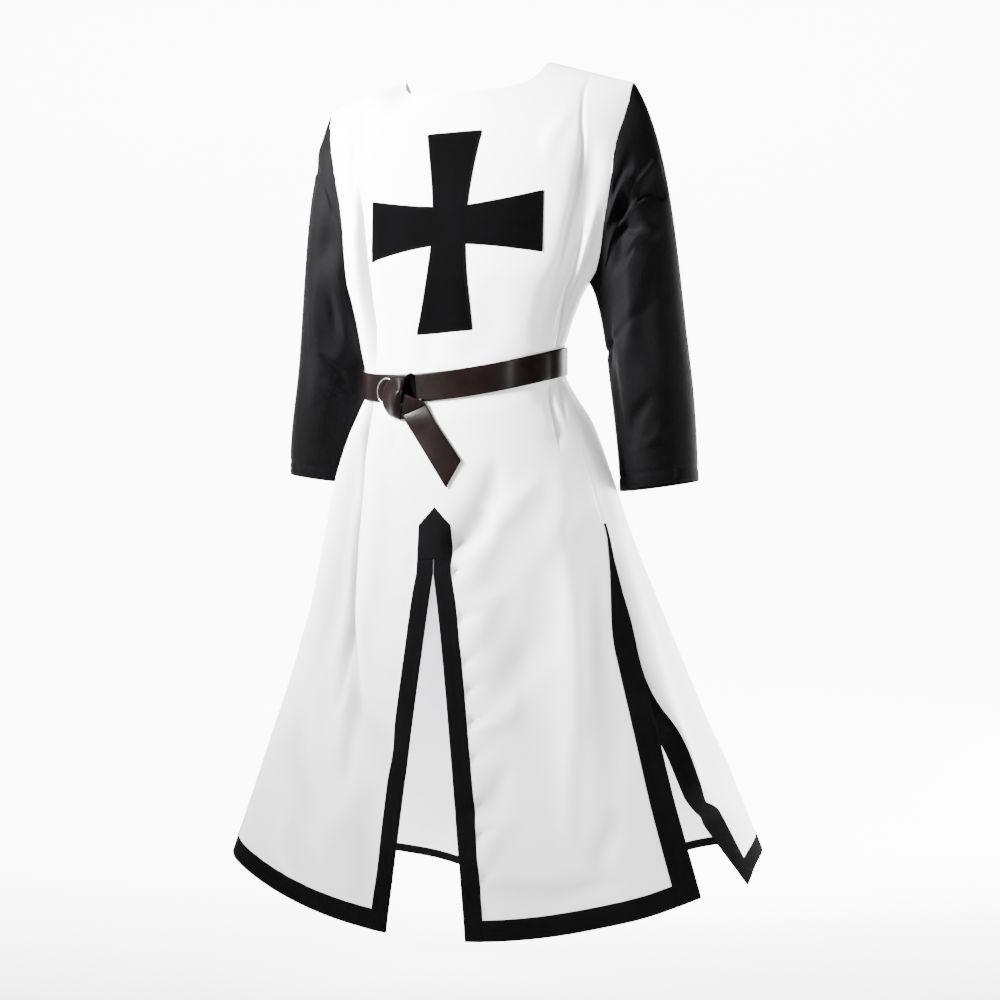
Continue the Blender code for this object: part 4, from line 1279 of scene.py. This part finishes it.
class SURCOAT_OT_ring(PieceOperator):
    """Metal ring through which the strap is folded back"""

    bl_idname = "surcoat.ring"
    bl_label = "Ring"

    def make(self, cut):
        x, offset = np.full(3, RING_X), np.array([RING_OFFSET, 0.0, 0.0])
        middle, inner, outer = belt_points(x, offset, np.array([RING_LIFT, RING_LIFT, 1.7]))
        facing = Vector(outer - inner).normalized()
        shape = bmesh.new()
        bmesh.ops.create_circle(shape, segments=16, radius=RING_WIRE * CM)
        turned = Matrix.Rotation(math.pi / 2, 3, "X")
        bmesh.ops.rotate(shape, verts=shape.verts[:], matrix=turned)
        bmesh.ops.translate(shape, verts=shape.verts[:], vec=(RING_RADIUS * CM, 0, 0))
        bmesh.ops.spin(
            shape, geom=shape.verts[:] + shape.edges[:], cent=(0, 0, 0), axis=(0, 0, 1),
            dvec=(0, 0, 0), angle=math.tau, steps=96, use_merge=True, use_duplicate=False,
        )
        turned = facing.to_track_quat("Z", "Y").to_matrix()
        bmesh.ops.rotate(shape, verts=shape.verts[:], matrix=turned)
        bmesh.ops.translate(shape, verts=shape.verts[:], vec=Vector(middle) * CM)
        bmesh.ops.remove_doubles(shape, verts=shape.verts[:], dist=0.00001)
        bmesh.ops.recalc_face_normals(shape, faces=shape.faces[:])
        mesh = mesh_of("metal_ring", shape)
        mesh.materials.append(finish_of("polished metal", bright_metal, cut.metal))
        mesh.shade_smooth()
        ring = linked("metal_ring", mesh)
        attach(ring, "root")
        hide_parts("belt_ring")


FLOOR_DEPTH = 3.0
FLOOR_BEND = 2.5
FLOOR_GAP = 0.12
GLOW_AWAY = 3.7
CAMERA_PLACE = (0.944, -2.120, -0.533)
CAMERA_LENS = 63.43
AIM_RIGHT = 0.011975
AIM_DOWN = 0.013622
# Each lamp: place, aim, width, height, power in watts and spread in degrees.
LAMPS = [
    ("key", (-1.3, -1.15, 0.55), (-0.14, -0.1, -0.02), 0.6, 0.6, 62.0, 54.0),
    ("left", (-2.0, -1.1, -0.2), (0, -0.1, -0.6), 0.8, 1.2, 28.0, 180.0),
    ("strip", (1.45, -1.95, -0.25), (0, 0, -0.35), 0.2, 1.5, 30.0, 180.0),
    ("side", (2.4, 0.7, -0.9), (0, 0, -0.7), 1.2, 1.2, 190.0, 180.0),
    ("rim", (1.55, 2.9, -0.4), (0.1, 0, -0.5), 1.2, 1.6, 190.0, 180.0),
]


class SURCOAT_OT_stage(PieceOperator):
    """Pale floor, soft studio light and the camera"""

    bl_idname = "surcoat.stage"
    bl_label = "Stage"

    def make(self, cut):
        scene = bpy.context.scene
        floor_height = SOLID_BOX[0][2] - FLOOR_GAP
        shape = bmesh.new()
        bmesh.ops.create_grid(shape, x_segments=4, y_segments=64, size=9.0)
        for point in shape.verts:
            away = max(point.co.y - FLOOR_DEPTH, 0.0)
            bend = min(away / FLOOR_BEND, math.pi / 2)
            rest = max(away - FLOOR_BEND * math.pi / 2, 0.0)
            point.co.y = min(point.co.y, FLOOR_DEPTH) + FLOOR_BEND * math.sin(bend)
            point.co.z = floor_height + FLOOR_BEND * (1 - math.cos(bend)) + rest
        turned = Matrix.Rotation(VIEW_TURN, 3, "Z")
        bmesh.ops.rotate(shape, verts=shape.verts[:], matrix=turned)
        mesh = mesh_of("floor", shape)
        mesh.shade_smooth()
        paint = Paint("pale floor", Roughness=0.9, Specular_IOR_Level=0.0, Emission_Strength=9.0)
        tone = paint.blend(paint.noise(3.0), (0.93, 0.93, 0.93, 1), (0.95, 0.95, 0.95, 1))
        ahead = Vector((-math.sin(VIEW_TURN), math.cos(VIEW_TURN), 0))
        values = {0: paint.place(), 1: ahead * GLOW_AWAY + Vector((0, 0, 0.1))}
        away = paint.node("ShaderNodeVectorMath", {"operation": "DISTANCE"}, values, out=1)
        glow = paint.blend(away.clear(3.0, 4.45), (1, 1, 1, 1), (0.06, 0.06, 0.06, 1))
        mesh.materials.append(paint.feed(Base_Color=tone, Emission_Color=glow))
        linked("floor", mesh)

        world = bpy.data.worlds.new("studio")
        world.use_nodes = True
        sky = world.node_tree.nodes["Background"].inputs
        sky["Color"].default_value = (0.985, 0.985, 1, 1)
        sky["Strength"].default_value = 0.25
        scene.world = world
        for name, place, aim, wide, tall, power, spread in LAMPS:
            lamp = bpy.data.lights.new(name, "AREA")
            lamp.shape = "RECTANGLE"
            lamp.size = wide
            lamp.size_y = tall
            lamp.energy = power
            lamp.spread = math.radians(spread)
            self.aimed(name, lamp, place, Vector(aim) - Vector(place))

        camera = bpy.data.cameras.new("camera")
        camera.sensor_width = 36.0
        camera.lens = CAMERA_LENS
        right = Vector((math.cos(VIEW_TURN), math.sin(VIEW_TURN), 0))
        aim = ahead + right * AIM_RIGHT - Vector((0, 0, 1)) * AIM_DOWN
        scene.camera = self.aimed("camera", camera, CAMERA_PLACE, aim)

    def aimed(self, name, data, place, way):
        """A lamp or camera at a place, looking along a way."""
        made = linked(name, data)
        made.location = place
        made.rotation_euler = way.to_track_quat("-Z", "Y").to_euler()
        return made


class SURCOAT_PT_panel(bpy.types.Panel):
    """Buttons and settings of the surcoat"""

    bl_idname = "SURCOAT_PT_panel"
    bl_label = "Medieval surcoat"
    bl_space_type = "VIEW_3D"
    bl_region_type = "UI"
    bl_category = "Surcoat"

    def draw(self, context):
        for name in SurcoatCut.__annotations__:
            self.layout.prop(context.scene.surcoat, name)
        for piece in PIECES:
            self.layout.operator(piece.bl_idname)


PIECES = [
    SURCOAT_OT_stage,
    SURCOAT_OT_white_front,
    SURCOAT_OT_white_back,
    SURCOAT_OT_sleeves,
    SURCOAT_OT_slit_trim,
    SURCOAT_OT_side_trim,
    SURCOAT_OT_hem_trim,
    SURCOAT_OT_cross,
    SURCOAT_OT_belt,
    SURCOAT_OT_ring,
]
CLASSES = [SurcoatCut, *PIECES, SURCOAT_PT_panel]


def register():
    for each in CLASSES:
        bpy.utils.register_class(each)
    bpy.types.Scene.surcoat = PointerProperty(type=SurcoatCut)


def unregister():
    del bpy.types.Scene.surcoat
    for each in reversed(CLASSES):
        bpy.utils.unregister_class(each)


def main():
    register()
    for piece in PIECES:
        getattr(bpy.ops.surcoat, piece.bl_idname.split(".")[1])()


if __name__ == "__main__":
    main()
